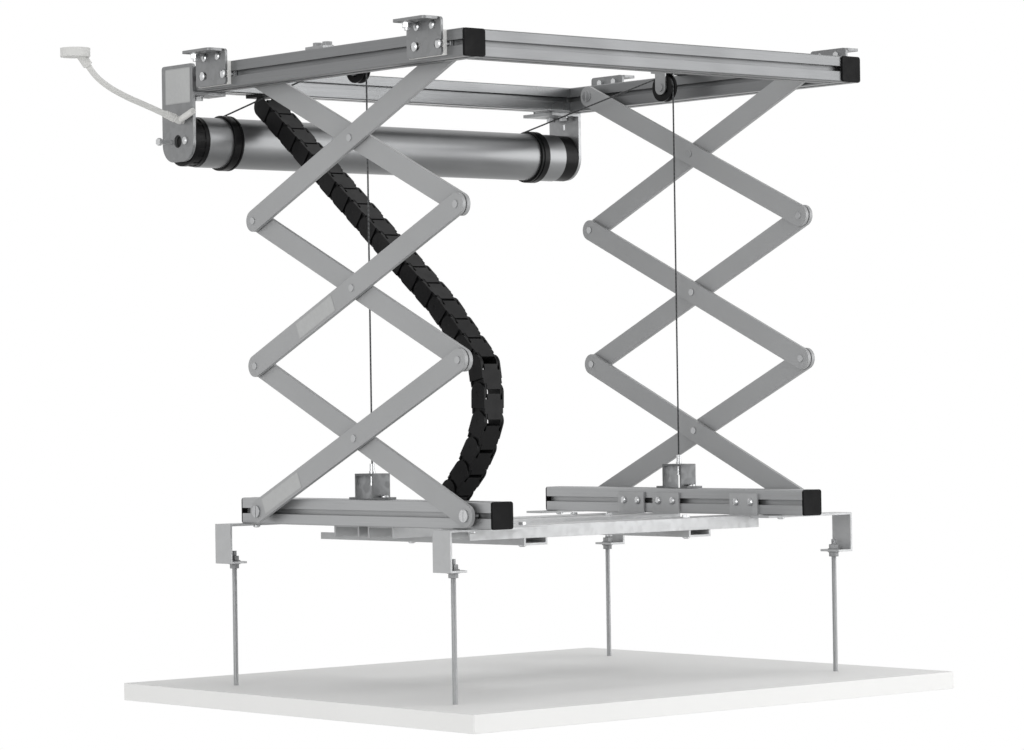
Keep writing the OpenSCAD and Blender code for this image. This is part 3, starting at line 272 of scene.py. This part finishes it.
def repeated(one, places):
    """A new bmesh with a copy of one at each place, turned about Z by the angle given with it.

    The one given is used up.
    """
    shape = bpy.data.meshes.new("repeated_shape")
    one.to_mesh(shape)
    one.free()
    bm = bmesh.new()
    for place, turn in places:
        done = len(bm.verts)
        bm.from_mesh(shape)
        bm.verts.ensure_lookup_table()
        fresh = bm.verts[done:]
        bmesh.ops.rotate(bm, verts=fresh, matrix=Matrix.Rotation(turn, 3, "Z"))
        bmesh.ops.translate(bm, verts=fresh, vec=place)
    bpy.data.meshes.remove(shape)
    return bm


def make_piece(name, bm, materials, body):
    """Makes a bmesh a piece that rides on a body, with sharp edges kept and the rest smooth."""
    for edge in bm.edges:
        edge.smooth = edge.is_manifold and edge.calc_face_angle(0) < SHARP_TURN
    for face in bm.faces:
        face.smooth = True
    mesh = bpy.data.meshes.new(name)
    bm.to_mesh(mesh)
    bm.free()
    for material in materials:
        mesh.materials.append(material)
    piece = bpy.data.objects.new(name, mesh)
    bpy.context.scene.collection.objects.link(piece)
    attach(piece, body)
    return piece


# Finishes


def anodised_aluminium(name, base, stretch, roughness):
    """Extruded and clear anodised: satin, with faint die lines along the bar."""
    material, tree = new_material(name)
    # Die lines about 0.7 mm apart, drawn coarser than real so that they show, and clouds of 60 mm
    lines = grain(tree, 0.7, stretch, detail=3.0)
    cloud = grain(tree, 60, detail=1.0)
    shade(tree, {
        "Base Color": tinted(tree, base, lines, share=0.05),
        "Metallic": 0.85,
        "Roughness": ranged(tree, cloud, roughness - 0.03, roughness + 0.04),
        "Normal": relief(tree, lines, depth=0.012, edge=0.5)})
    return material


def grey_arm_coat(name, base, zinc):
    """Powder coat on sheet steel: even grey with a soft orange peel, and zinc plated pins in it."""
    material, tree = new_material(name)
    # Orange peel with waves about 1.6 mm across, and clouds of 90 mm
    peel = grain(tree, 1.6, detail=1.0)
    cloud = grain(tree, 90)
    # Pins and washers stand outside the two layers of arms
    place = add(tree, "TexCoord")
    parts = add(tree, "SeparateXYZ", {0: place.outputs["Object"]})
    across = add(tree, "Math", {0: parts.outputs[0]}, operation="ABSOLUTE").outputs[0]
    coat = add(tree, "Math", {
        0: within(tree, across, INNER_ARMS, ARM_HALF),
        1: within(tree, across, OUTER_ARMS, ARM_HALF)},
        operation="MAXIMUM").outputs[0]
    metal = add(tree, "MapRange", {"Value": coat, "To Min": 1.0, "To Max": 0.15})
    polish = add(tree, "MapRange", {"Value": coat, "To Min": 0.7, "To Max": 1.0})
    rough = add(tree, "Math", {0: ranged(tree, peel, 0.42, 0.52), 1: polish.outputs[0]},
                operation="MULTIPLY")
    shade(tree, {
        "Base Color": blended(tree, coat, zinc, tinted(tree, base, cloud, share=0.03)),
        "Metallic": metal.outputs[0],
        "Roughness": rough.outputs[0],
        "Normal": relief(tree, peel, depth=0.02, edge=0.6)})
    return material


def zinc_sheet(name, base, metallic, roughness, spangled=0.035):
    """Zinc on pressed sheet steel: faint spangle, and fine rolling lines."""
    material, tree = new_material(name)
    place = add(tree, "TexCoord")
    # Spangle grains about 6 mm across, and rolling lines 0.5 mm apart
    spangle = add(tree, "TexVoronoi", {
        "Vector": place.outputs["Object"], "Scale": 1 / (6 * MM)}, feature="F1")
    tone = add(tree, "SeparateColor", {0: spangle.outputs["Color"]})
    lines = grain(tree, 0.5, (0.05, 1, 1))
    shade(tree, {
        "Base Color": tinted(tree, base, tone.outputs[0], share=spangled),
        "Metallic": metallic,
        "Roughness": ranged(tree, tone.outputs[1], roughness - 0.04, roughness + 0.06),
        "Normal": relief(tree, lines, depth=0.008, edge=0.5)})
    return material


def zinc_plate(name, base, roughness=0.3):
    """Zinc plate on screws and pins: bright, a little cloudy."""
    material, tree = new_material(name)
    # Cloudiness about 2 mm across, and a fine frosting of 0.3 mm
    cloud = grain(tree, 2.0)
    frost = grain(tree, 0.3)
    shade(tree, {
        "Base Color": tinted(tree, base, cloud, share=0.06),
        "Metallic": 1.0,
        "Roughness": ranged(tree, cloud, roughness - 0.06, roughness + 0.06),
        "Normal": relief(tree, frost, depth=0.006, edge=0.25)})
    return material


def tube_steel(name, base):
    """Cold rolled tube: satin grey, drawn lines along the tube and slight staining."""
    material, tree = new_material(name)
    # Drawn lines 0.6 mm apart, stains about 35 mm across
    lines = grain(tree, 0.6, (0.015, 1, 1), detail=3.0)
    stain = grain(tree, 35, (0.5, 1, 1), detail=3.0)
    shade(tree, {
        "Base Color": tinted(tree, base, stain, share=0.06),
        "Metallic": 0.9,
        "Roughness": ranged(tree, stain, 0.36, 0.44),
        "Normal": relief(tree, lines, depth=0.01, edge=0.5)})
    return material


def motor_end(name, dark, zinc):
    """The motor's blackened end in the plate's hole, and the bright screws outside the plate."""
    material, tree = new_material(name)
    place = add(tree, "TexCoord")
    parts = add(tree, "SeparateXYZ", {0: place.outputs["Object"]})
    outside = add(tree, "Math", {0: parts.outputs[0], 1: PLATE_FACE * MM},
                  operation="LESS_THAN").outputs[0]
    # Cloudiness about 2 mm across
    cloud = grain(tree, 2.0)
    shade(tree, {
        "Base Color": blended(tree, outside, dark, tinted(tree, zinc, cloud, share=0.06)),
        "Metallic": add(tree, "MapRange", {"Value": outside, "To Max": 0.55}).outputs[0],
        "Roughness": ranged(tree, cloud, 0.28, 0.4),
        "Normal": relief(tree, cloud, depth=0.005, edge=0.25)})
    return material


def moulded_nylon(name, base, roughness=0.42, gloss=0.15):
    """Black polyamide, injection moulded: spark eroded texture, slightly shiny."""
    material, tree = new_material(name)
    # Mould texture of 0.5 mm, flow marks of 14 mm
    texture = grain(tree, 0.5)
    flow = grain(tree, 14)
    shade(tree, {
        "Base Color": tinted(tree, base, flow, share=0.12),
        "Metallic": 0.0,
        "Roughness": ranged(tree, flow, roughness - 0.05, roughness + 0.06),
        "Specular IOR Level": gloss,
        "Normal": relief(tree, texture, depth=0.015, edge=0.5)})
    return material


def white_moulding(name, base, edge=0.4):
    """White PVC and ABS: smooth and slightly soft looking, with flow marks."""
    material, tree = new_material(name)
    # Flow marks of 9 mm, and a fine texture drawn at 2 mm so that it shows
    flow = grain(tree, 9)
    texture = grain(tree, 2.0)
    shade(tree, {
        "Base Color": tinted(tree, base, flow, share=0.015),
        "Roughness": ranged(tree, flow, 0.5, 0.58),
        "Specular IOR Level": 0.3,
        "Normal": relief(tree, texture, depth=0.004, edge=edge)})
    return material


def steel_wire(name, base):
    """Laid steel wire: dull and lightly oiled, with light and dark bands painted in as the strands'
    highlights and shade.
    """
    material, tree = new_material(name)
    place = add(tree, "TexCoord")
    # Painted highlight and shade: light and dark bands that slant round the rope; a scale of 125
    # sets them 5 mm apart
    strand_bands_painted_shade = add(tree, "TexWave", {
        "Vector": place.outputs["Object"], "Scale": 125, "Distortion": 0.3},
        wave_type="BANDS", bands_direction="DIAGONAL")
    shade(tree, {
        # The bands lighten and darken the wire's colour: painted highlight and shade of the strands
        "Base Color": tinted(tree, base, strand_bands_painted_shade.outputs["Fac"], share=0.25),
        "Metallic": 0.8,
        "Roughness": 0.42,
        "Normal": relief(tree, strand_bands_painted_shade.outputs["Fac"], depth=0.04, edge=0)})
    return material


def painted_board(name, base):
    """Matt white paint on board: roller stipple and soft edges."""
    material, tree = new_material(name)
    # Roller stipple of 2.5 mm, drawn as deep as it needs to show, and waves of 180 mm
    stipple = grain(tree, 2.5, detail=3.0)
    wave = grain(tree, 180, detail=1.0)
    shade(tree, {
        "Base Color": tinted(tree, base, wave, share=0.012),
        "Roughness": ranged(tree, stipple, 0.58, 0.7),
        "Normal": relief(tree, stipple, depth=0.05, edge=0.8)})
    return material


def label_film(name, base):
    """Printed polyester film: smooth, faintly mottled."""
    material, tree = new_material(name)
    # Mottle of the film, 4 mm across
    mottle = grain(tree, 4, detail=1.0)
    shade(tree, {
        "Base Color": tinted(tree, base, mottle, share=0.03),
        "Metallic": 0.2,
        "Roughness": ranged(tree, mottle, 0.3, 0.4),
        "Normal": relief(tree, mottle, depth=0.01, edge=0.1)})
    return material


# Operators


class LiftStep:
    """What the operators share."""

    bl_options = {"REGISTER", "UNDO"}

    @property
    def sizes(self):
        return bpy.context.scene.lift_sizes

    @property
    def colours(self):
        return bpy.context.scene.lift_colours


class LIFT_OT_camera(LiftStep, bpy.types.Operator):
    """Place the camera in front and to the left, level with the lift"""

    bl_idname = "lift.camera"
    bl_label = "Camera"

    def execute(self, context):
        turn, pitch, roll = (math.radians(a) for a in CAMERA_TURNS)
        ahead = Vector((math.sin(turn) * math.cos(pitch), math.cos(turn) * math.cos(pitch),
                        math.sin(pitch)))
        level = Vector((math.cos(turn), -math.sin(turn), 0))
        upright = level.cross(ahead)
        right = math.cos(roll) * level + math.sin(roll) * upright
        up = -math.sin(roll) * level + math.cos(roll) * upright
        camera = bpy.data.cameras.new("lift_camera")
        camera.lens = FOCAL_PIXELS / PICTURE_PIXELS * camera.sensor_width
        camera.clip_end = 100
        holder = bpy.data.objects.new("lift_camera", camera)
        context.scene.collection.objects.link(holder)
        turned = Matrix((right, up, -ahead)).transposed().to_4x4()
        holder.matrix_world = Matrix.Translation(Vector(CAMERA_PLACE) * MM) @ turned
        context.scene.camera = holder
        return {"FINISHED"}


class LIFT_OT_cord(LiftStep, bpy.types.Operator):
    """Lay the power cord from its relief up to the cover on the ceiling"""

    bl_idname = "lift.cord"
    bl_label = "Power cord"

    def flex(self, plastic):
        """The cord itself, as a round curve along its middle line."""
        curve = bpy.data.curves.new("power_cord_flex", "CURVE")
        curve.dimensions = "3D"
        curve.bevel_depth = self.sizes.cord_diameter / 2
        curve.bevel_resolution = 5
        curve.resolution_u = 4
        curve.use_fill_caps = True
        line = curve.splines.new("BEZIER")
        line.bezier_points.add(len(CORD_ROUTE) - 1)
        for knot, point in zip(line.bezier_points, CORD_ROUTE):
            knot.co = Vector(point) * MM
            knot.handle_left_type = knot.handle_right_type = "AUTO"
        curve.materials.append(plastic)
        cord = bpy.data.objects.new("power_cord_flex", curve)
        bpy.context.scene.collection.objects.link(cord)
        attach(cord, "top_frame")
        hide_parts("power_cord")
        return cord

    def rings(self, plastic):
        """Rings round the relief's taper, which grow towards the plate."""
        start = Vector(CORD_ROUTE[0]) * MM
        away = (Vector(CORD_ROUTE[1]) * MM - start).normalized()
        # A ring's radius, how far the first one stands out, how much more each next one does, where
        # the first one lies and how far they stand apart
        ring_radius, ring_out, ring_growth = 0.55 * MM, 0.45 * MM, 0.16 * MM
        first_ring, ring_pitch = 2 * MM, 3 * MM
        bm = bmesh.new()
        for i in range(self.sizes.relief_rings):
            section = bmesh.ops.create_circle(bm, segments=8, radius=ring_radius)["verts"]
            bmesh.ops.rotate(bm, verts=section, matrix=Matrix.Rotation(math.pi / 2, 3, "X"))
            bmesh.ops.translate(bm, verts=section, vec=(
                self.sizes.cord_diameter / 2 + ring_out + ring_growth * i, 0,
                -first_ring - ring_pitch * i))
            edges = list(dict.fromkeys(e for v in section for e in v.link_edges))
            bmesh.ops.spin(
                bm, geom=section + edges, cent=(0, 0, 0), axis=(0, 0, 1), dvec=(0, 0, 0),
                angle=2 * math.pi, steps=28, use_merge=True, use_duplicate=False)
        bmesh.ops.remove_doubles(bm, verts=bm.verts, dist=FINE_MERGE)
        bmesh.ops.rotate(bm, verts=bm.verts, matrix=away.to_track_quat("Z", "Y").to_matrix())
        bmesh.ops.translate(bm, verts=bm.verts, vec=start)
        bmesh.ops.recalc_face_normals(bm, faces=bm.faces)
        return make_piece("cord_relief_rings", bm, [plastic], "top_frame")

    def execute(self, context):
        plastic = white_moulding("white_pvc_cord", self.colours.cord, edge=0)
        finish_nodes(["cord_relief", "ceiling_cord_fitting"], plastic)
        cord = self.flex(plastic)
        ribs = self.rings(plastic)
        return {"FINISHED"}


class LIFT_OT_rails(LiftStep, bpy.types.Operator):
    """Finish the slotted rails of the frame and the platform"""

    bl_idname = "lift.rails"
    bl_label = "Rails"

    def execute(self, context):
        side = anodised_aluminium(
            "anodised_side_rail", self.colours.aluminium, ALONG_Y, roughness=0.4)
        finish_nodes(["left_top_rail", "right_top_rail"], side)
        # The platform's rails take the lighter copy of the rail finish: painted light from below
        low = anodised_aluminium(
            "anodised_low_rail_painted_light", self.colours.painted_light_rail_aluminium, ALONG_Y, roughness=0.42)
        finish_nodes(["left_bottom_rail", "right_bottom_rail"], low)
        front = anodised_aluminium(
            "anodised_front_beam", self.colours.bright_aluminium, ALONG_X, roughness=0.42)
        finish_nodes(["front_beam"], front)
        back = anodised_aluminium(
            "polished_back_beam", self.colours.bright_aluminium, ALONG_X, roughness=0.24)
        finish_nodes(["back_beam"], back)
        return {"FINISHED"}


class LIFT_OT_end_caps(LiftStep, bpy.types.Operator):
    """Build the moulded caps on the ends of the rails, with a soft edge and a shallow dish"""

    bl_idname = "lift.end_caps"
    bl_label = "End caps"

    def cap(self):
        """One cap about the origin, its outer face looking against Y."""
        side, thick = self.sizes.profile, self.sizes.cap_thickness
        corner_radius, rim, dish = 3 * MM, 1.6 * MM, 0.3 * MM
        bm = bmesh.new()
        bmesh.ops.create_cube(bm, size=1)
        bmesh.ops.scale(bm, verts=bm.verts, vec=(side, thick, side))
        across = [e for e in bm.edges if abs((e.verts[0].co - e.verts[1].co).y) > thick / 2]
        bmesh.ops.bevel(bm, geom=across, offset=corner_radius, segments=4, profile=0.5,
                        affect="EDGES", material=-1)
        outer = min(bm.faces, key=lambda f: f.calc_center_median().y)
        bmesh.ops.bevel(bm, geom=list(outer.edges), offset=self.sizes.cap_edge, segments=3,
                        profile=0.5, affect="EDGES", material=-1)
        outer = min(bm.faces, key=lambda f: f.calc_center_median().y)
        bmesh.ops.inset_individual(bm, faces=[outer], thickness=rim, depth=-dish)
        return bm

    def execute(self, context):
        nylon = moulded_nylon("nylon_end_cap", self.colours.nylon, roughness=0.55, gloss=0.1)
        half, half_cap = self.sizes.profile / 2, self.sizes.cap_thickness / 2
        for node, body in (("rail_end_caps", "top_frame"), ("bottom_end_caps", "platform")):
            low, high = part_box(node)
            front, rear = low.y + half_cap, high.y - half_cap
            places = [(Vector((x, y, (low.z + high.z) / 2)), turn)
                      for x in (low.x + half, high.x - half)
                      for y, turn in ((front, 0), (rear, math.pi))]
            piece = make_piece(
                node + "_moulded", repeated(self.cap(), places), [nylon], body)
            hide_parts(node)
        return {"FINISHED"}


class LIFT_OT_brackets(LiftStep, bpy.types.Operator):
    """Finish the ceiling brackets, their spacers, the plates and the bridges"""

    bl_idname = "lift.brackets"
    bl_label = "Brackets"

    def execute(self, context):
        dark = zinc_sheet(
            "dark_zinc_sheet", self.colours.bracket, metallic=0.6, roughness=0.42)
        finish_nodes(["ceiling_brackets", "motor_bracket"], dark)
        mid = zinc_sheet("zinc_sheet", self.colours.plate, metallic=0.7, roughness=0.36)
        finish_nodes(["idler_bracket", "pulley_brackets"], mid)
        bridge = zinc_sheet(
            "bridge_zinc_sheet", self.colours.bridge, metallic=0.62, roughness=0.4)
        finish_nodes(["rope_anchors"], bridge)
        finish_nodes(["bracket_spacers"],
                     white_moulding("white_spacer", self.colours.white_plastic))
        return {"FINISHED"}


class LIFT_OT_fasteners(LiftStep, bpy.types.Operator):
    """Finish the screws, nuts, pins and sleeves"""

    bl_idname = "lift.fasteners"
    bl_label = "Fasteners"

    def execute(self, context):
        finish_nodes(
            ["frame_bolts", "ceiling_bolts", "top_pivot_bolts", "bottom_pivot_bolts",
             "platform_screws", "rope_ferrules"],
            zinc_plate("zinc_plated_steel", self.colours.steel))
        dull = zinc_sheet("dull_zinc_nut", self.colours.bracket, metallic=0.4, roughness=0.5)
        finish_nodes(["rod_nuts"], dull)
        return {"FINISHED"}


class LIFT_OT_scissors(LiftStep, bpy.types.Operator):
    """Finish the twelve scissor arms with their pins"""

    bl_idname = "lift.scissors"
    bl_label = "Scissor arms"

    def execute(self, context):
        finish_nodes(
            [f"{side}_{level}_{layer}_arm" for side in ("left", "right")
             for level in ("upper", "middle", "lower") for layer in ("outer", "inner")],
            grey_arm_coat("grey_arm_coat", self.colours.arm, self.colours.pale_sheet))
        return {"FINISHED"}


class LIFT_OT_drum(LiftStep, bpy.types.Operator):
    """Finish the drum, the motor inside it and the moulded rings"""

    bl_idname = "lift.drum"
    bl_label = "Drum and motor"

    def execute(self, context):
        tube = tube_steel("drum_tube_steel", self.colours.tube)
        finish_nodes(["drum_tube"], tube)
        finish_nodes(["tubular_motor"],
                     motor_end("motor_end", self.colours.nylon, self.colours.steel))
        finish_nodes(
            ["drive_crown", "rope_collars", "drum_idler_plug", "left_pulley", "right_pulley"],
            moulded_nylon("nylon_ring", self.colours.nylon, roughness=0.36))
        return {"FINISHED"}


class LIFT_OT_ropes(LiftStep, bpy.types.Operator):
    """Lay the two hanging wire ropes from twisted strands, and finish the runs to the drum"""

    bl_idname = "lift.ropes"
    bl_label = "Wire ropes"

    def execute(self, context):
        wire = steel_wire("laid_steel_wire", self.colours.wire)
        finish_nodes(["rope_runs"], wire)
        low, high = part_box("rope_drops")
        radius = self.sizes.rope_diameter / 2
        # Six strands show round the rope, each with four points and one of them in a valley
        strands, strand_points, valley_share = 6, 4, 0.8
        laid = max(1, round((high.z - low.z) / self.sizes.rope_lay))
        rise = (high.z - low.z) / laid
        turn = bmesh.new()
        section = bmesh.ops.create_circle(
            turn, segments=strands * strand_points, radius=radius)["verts"]
        for vert in section[::strand_points]:
            vert.co *= valley_share
        steps = strands * 2
        bmesh.ops.spin(
            turn, geom=section + list(turn.edges), cent=(0, 0, 0), axis=(0, 0, 1),
            dvec=(0, 0, rise / steps), angle=2 * math.pi, steps=steps, use_merge=False,
            use_duplicate=False)
        bm = repeated(turn, [(Vector((x, (low.y + high.y) / 2, low.z + i * rise)), 0)
                             for x in (low.x + radius, high.x - radius) for i in range(laid)])
        bmesh.ops.remove_doubles(bm, verts=bm.verts, dist=STACK_MERGE)
        bmesh.ops.holes_fill(bm, edges=[e for e in bm.edges if e.is_boundary], sides=0)
        bmesh.ops.recalc_face_normals(bm, faces=bm.faces)
        drops = make_piece("rope_drops_laid", bm, [wire], "top_frame")
        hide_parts("rope_drops")
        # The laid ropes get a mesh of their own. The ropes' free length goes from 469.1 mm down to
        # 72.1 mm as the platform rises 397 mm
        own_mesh(drops)
        return {"FINISHED"}


class LIFT_OT_chain(LiftStep, bpy.types.Operator):
    """Finish the cable chain and its top anchor"""

    bl_idname = "lift.chain"
    bl_label = "Cable chain"

    def execute(self, context):
        finish_nodes([n for n in NODES if n.startswith("chain_")],
                     moulded_nylon("nylon_chain", self.colours.nylon, roughness=0.46))
        return {"FINISHED"}


class LIFT_OT_platform(LiftStep, bpy.types.Operator):
    """Finish the cross bars, the strips and the hangers"""

    bl_idname = "lift.platform"
    bl_label = "Platform"

    def execute(self, context):
        pale = zinc_sheet("pale_zinc_sheet", self.colours.pale_sheet, metallic=0.3,
                          roughness=0.4, spangled=0.012)
        finish_nodes(["cross_bars", "mounting_strips", "panel_hangers"], pale)
        return {"FINISHED"}


class LIFT_OT_rods(LiftStep, bpy.types.Operator):
    """Cut the thread of the four rods that carry the panel"""

    bl_idname = "lift.rods"
    bl_label = "Threaded rods"

    def rod(self, reach):
        """A rod from the origin up: one turn of ridge and valley, stacked and trimmed flat."""
        radius, pitch, sides = self.sizes.rod_diameter / 2, self.sizes.thread_pitch, 12
        depth_share, crest_shares = 0.36, (0.42, 0.58)
        root = radius - pitch * depth_share
        turn = bmesh.new()
        profile = [turn.verts.new((r, 0, z)) for r, z in (
            (root, 0), *[(radius, pitch * share) for share in crest_shares], (root, pitch))]
        edges = [turn.edges.new(pair) for pair in zip(profile, profile[1:])]
        bmesh.ops.spin(
            turn, geom=profile + edges, cent=(0, 0, 0), axis=(0, 0, 1), dvec=(0, 0, pitch / sides),
            angle=2 * math.pi, steps=sides, use_merge=False, use_duplicate=False)
        # One turn to spare at each end, for the two cuts
        turns = math.ceil(reach / pitch) + 2
        bm = repeated(turn, [(Vector((0, 0, (i - 1) * pitch)), 0) for i in range(turns)])
        bmesh.ops.remove_doubles(bm, verts=bm.verts, dist=STACK_MERGE)
        for height, normal in ((0, (0, 0, -1)), (reach, (0, 0, 1))):
            cut = bmesh.ops.bisect_plane(
                bm, geom=bm.verts[:] + bm.edges[:] + bm.faces[:], dist=CUT_REACH,
                plane_co=(0, 0, height), plane_no=normal, clear_outer=True)
            rim = [e for e in cut["geom_cut"] if isinstance(e, bmesh.types.BMEdge)]
            bmesh.ops.holes_fill(bm, edges=rim, sides=0)
        return bm

    def execute(self, context):
        low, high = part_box("threaded_rods")
        half = self.sizes.rod_diameter / 2
        bm = repeated(self.rod(high.z - low.z), [
            (Vector((x, y, low.z)), 0) for x in (low.x + half, high.x - half)
            for y in (low.y + half, high.y - half)])
        bmesh.ops.recalc_face_normals(bm, faces=bm.faces)
        zinc = zinc_plate("zinc_plated_rod", self.colours.pale_sheet, roughness=0.42)
        piece = make_piece("threaded_rods_cut", bm, [zinc], "platform")
        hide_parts("threaded_rods")
        return {"FINISHED"}


class LIFT_OT_panel(LiftStep, bpy.types.Operator):
    """Finish the ceiling panel under the platform"""

    bl_idname = "lift.panel"
    bl_label = "Ceiling panel"

    def execute(self, context):
        finish_nodes(["ceiling_panel"], painted_board("matt_white_board", self.colours.board))
        return {"FINISHED"}


class LIFT_OT_labels(LiftStep, bpy.types.Operator):
    """Put the bare labels on the motor plate and on two arms"""

    bl_idname = "lift.labels"
    bl_label = "Bare labels"

    def label(self, name, body, centre, wide, high, slope, films):
        """A thin film with round corners on a face that looks to the left."""
        corner_radius, rim = 1.5 * MM, 1.2 * MM
        bm = bmesh.new()
        sheet = bmesh.ops.create_grid(bm, x_segments=1, y_segments=1, size=0.5)["verts"]
        bmesh.ops.scale(bm, verts=sheet, vec=(wide * MM, high * MM, 1))
        bmesh.ops.bevel(bm, geom=sheet, offset=corner_radius, segments=3, profile=0.5,
                        affect="VERTICES", material=-1)
        bmesh.ops.inset_individual(bm, faces=list(bm.faces), thickness=rim, depth=0)
        for face in bm.faces:
            face.material_index = 1 if len(face.edges) == 4 else 0
        bm.normal_update()
        bmesh.ops.solidify(bm, geom=list(bm.faces), thickness=self.sizes.label_thickness)
        # The label's length runs to the front, its width upwards and its face to the left
        stand = Matrix(((0, 0, -1), (-1, 0, 0), (0, 1, 0)))
        turn = Matrix.Rotation(math.radians(slope), 3, "X")
        bmesh.ops.rotate(bm, verts=bm.verts, matrix=turn @ stand)
        bmesh.ops.translate(bm, verts=bm.verts, vec=Vector(centre) * MM)
        bmesh.ops.recalc_face_normals(bm, faces=bm.faces)
        return make_piece(name, bm, films, body)

    def execute(self, context):
        films = [label_film("label_film", self.colours.label),
                 label_film("label_rim", self.colours.label_rim)]
        for name, (body, centre, wide, high, slope) in LABELS.items():
            self.label(name, body, centre, wide, high, slope, films)
        return {"FINISHED"}


class LIFT_OT_stage(LiftStep, bpy.types.Operator):
    """Lay a pale floor, and light the lift with soft lamps on a white background"""

    bl_idname = "lift.stage"
    bl_label = "Stage"

    def lamp(self, name, place, size, power):
        """A soft square lamp that looks at the middle of the lift."""
        light = bpy.data.lights.new(name, "AREA")
        light.shape = "SQUARE"
        light.size = size
        light.energy = power
        holder = bpy.data.objects.new(name, light)
        bpy.context.scene.collection.objects.link(holder)
        holder.location = place
        holder.rotation_mode = "QUATERNION"
        holder.rotation_quaternion = (Vector(LIFT_MIDDLE) - Vector(place)).to_track_quat("-Z", "Y")

    def seen(self, tree):
        """1 for what is seen straight, mirrored or through glass, and 0 for rays of light."""
        path = add(tree, "LightPath")
        first = add(
            tree, "Math", {0: path.outputs["Is Camera Ray"], 1: path.outputs["Is Glossy Ray"]},
            operation="MAXIMUM")
        seen = add(tree, "Math", {0: first.outputs[0], 1: path.outputs["Is Transmission Ray"]},
                   operation="MAXIMUM")
        return seen.outputs[0]

    def room(self, scene):
        """A white background that lights the lift less than it shows."""
        world = bpy.data.worlds.new("white_room")
        world.use_nodes = True
        tree = world.node_tree
        tree.nodes.clear()
        seen = self.seen(tree)
        light = add(tree, "Background", {"Color": (1, 1, 1, 1), "Strength": ROOM_LIGHT})
        shown = add(tree, "Background", {"Color": (1, 1, 1, 1), "Strength": 1.0})
        mixed = add(tree, "MixShader", {0: seen, 1: light.outputs[0], 2: shown.outputs[0]})
        add(tree, "OutputWorld", {"Surface": mixed.outputs[0]})
        scene.world = world

    def floor(self, scene):
        """A pale floor that fades to the white background and shows from above only."""
        bm = bmesh.new()
        bmesh.ops.create_grid(bm, x_segments=1, y_segments=1, size=FLOOR_HALF)
        bmesh.ops.translate(bm, verts=bm.verts, vec=(0, 0, FLOOR_Z))
        mesh = bpy.data.meshes.new("floor")
        bm.to_mesh(mesh)
        bm.free()
        floor = bpy.data.objects.new("floor", mesh)
        scene.collection.objects.link(floor)
        material, tree = new_material("pale_floor")
        place = add(tree, "TexCoord")
        away = add(tree, "VectorMath", {0: place.outputs["Object"], 1: (0, 0, FLOOR_Z)},
                   operation="DISTANCE")
        fade = add(tree, "MapRange", {
            "Value": away.outputs["Value"], "From Min": FADE_FROM, "From Max": FADE_TO,
            "To Min": 0.0, "To Max": 1.0}, interpolation_type="SMOOTHSTEP")
        share = add(tree, "Math", {0: fade.outputs[0], 1: self.seen(tree)}, operation="MULTIPLY")
        matt = add(tree, "BsdfDiffuse", {"Color": linear(FLOOR_COLOUR)})
        white = add(tree, "Emission", {"Color": (1, 1, 1, 1), "Strength": 1.0})
        both = add(tree, "MixShader", {
            0: share.outputs[0], 1: matt.outputs[0], 2: white.outputs[0]})
        clear = add(tree, "BsdfTransparent")
        side = add(tree, "NewGeometry")
        final = add(tree, "MixShader", {
            0: side.outputs["Backfacing"], 1: both.outputs[0], 2: clear.outputs[0]})
        add(tree, "OutputMaterial", {"Surface": final.outputs[0]})
        mesh.materials.append(material)

    def execute(self, context):
        scene = context.scene
        scene.view_settings.view_transform = "Standard"
        self.room(scene)
        self.floor(scene)
        for name, (place, size, power) in LAMPS.items():
            self.lamp(name, place, size, power)
        return {"FINISHED"}


OPERATORS = [
    LIFT_OT_camera, LIFT_OT_cord, LIFT_OT_rails, LIFT_OT_end_caps, LIFT_OT_brackets,
    LIFT_OT_fasteners, LIFT_OT_scissors, LIFT_OT_drum, LIFT_OT_ropes, LIFT_OT_chain,
    LIFT_OT_platform, LIFT_OT_rods, LIFT_OT_panel, LIFT_OT_labels, LIFT_OT_stage]


class LIFT_PT_panel(bpy.types.Panel):
    """Steps, sizes and colours of the lift"""

    bl_idname = "LIFT_PT_panel"
    bl_label = "Projector Lift"
    bl_space_type = "VIEW_3D"
    bl_region_type = "UI"
    bl_category = "Lift"

    def draw(self, context):
        for group in (context.scene.lift_sizes, context.scene.lift_colours):
            box = self.layout.box()
            for key in group.__annotations__:
                box.prop(group, key)
        for step in OPERATORS:
            self.layout.operator(step.bl_idname)


CLASSES = [LiftSizes, LiftColours, *OPERATORS, LIFT_PT_panel]


def register():
    for cls in CLASSES:
        bpy.utils.register_class(cls)
    bpy.types.Scene.lift_sizes = bpy.props.PointerProperty(type=LiftSizes)
    bpy.types.Scene.lift_colours = bpy.props.PointerProperty(type=LiftColours)


def unregister():
    del bpy.types.Scene.lift_colours
    del bpy.types.Scene.lift_sizes
    for cls in reversed(CLASSES):
        bpy.utils.unregister_class(cls)


def main():
    """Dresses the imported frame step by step."""
    register()
    for step in OPERATORS:
        group, name = step.bl_idname.split(".")
        getattr(getattr(bpy.ops, group), name)()
    bpy.context.view_layer.update()


if __name__ == "__main__":
    main()
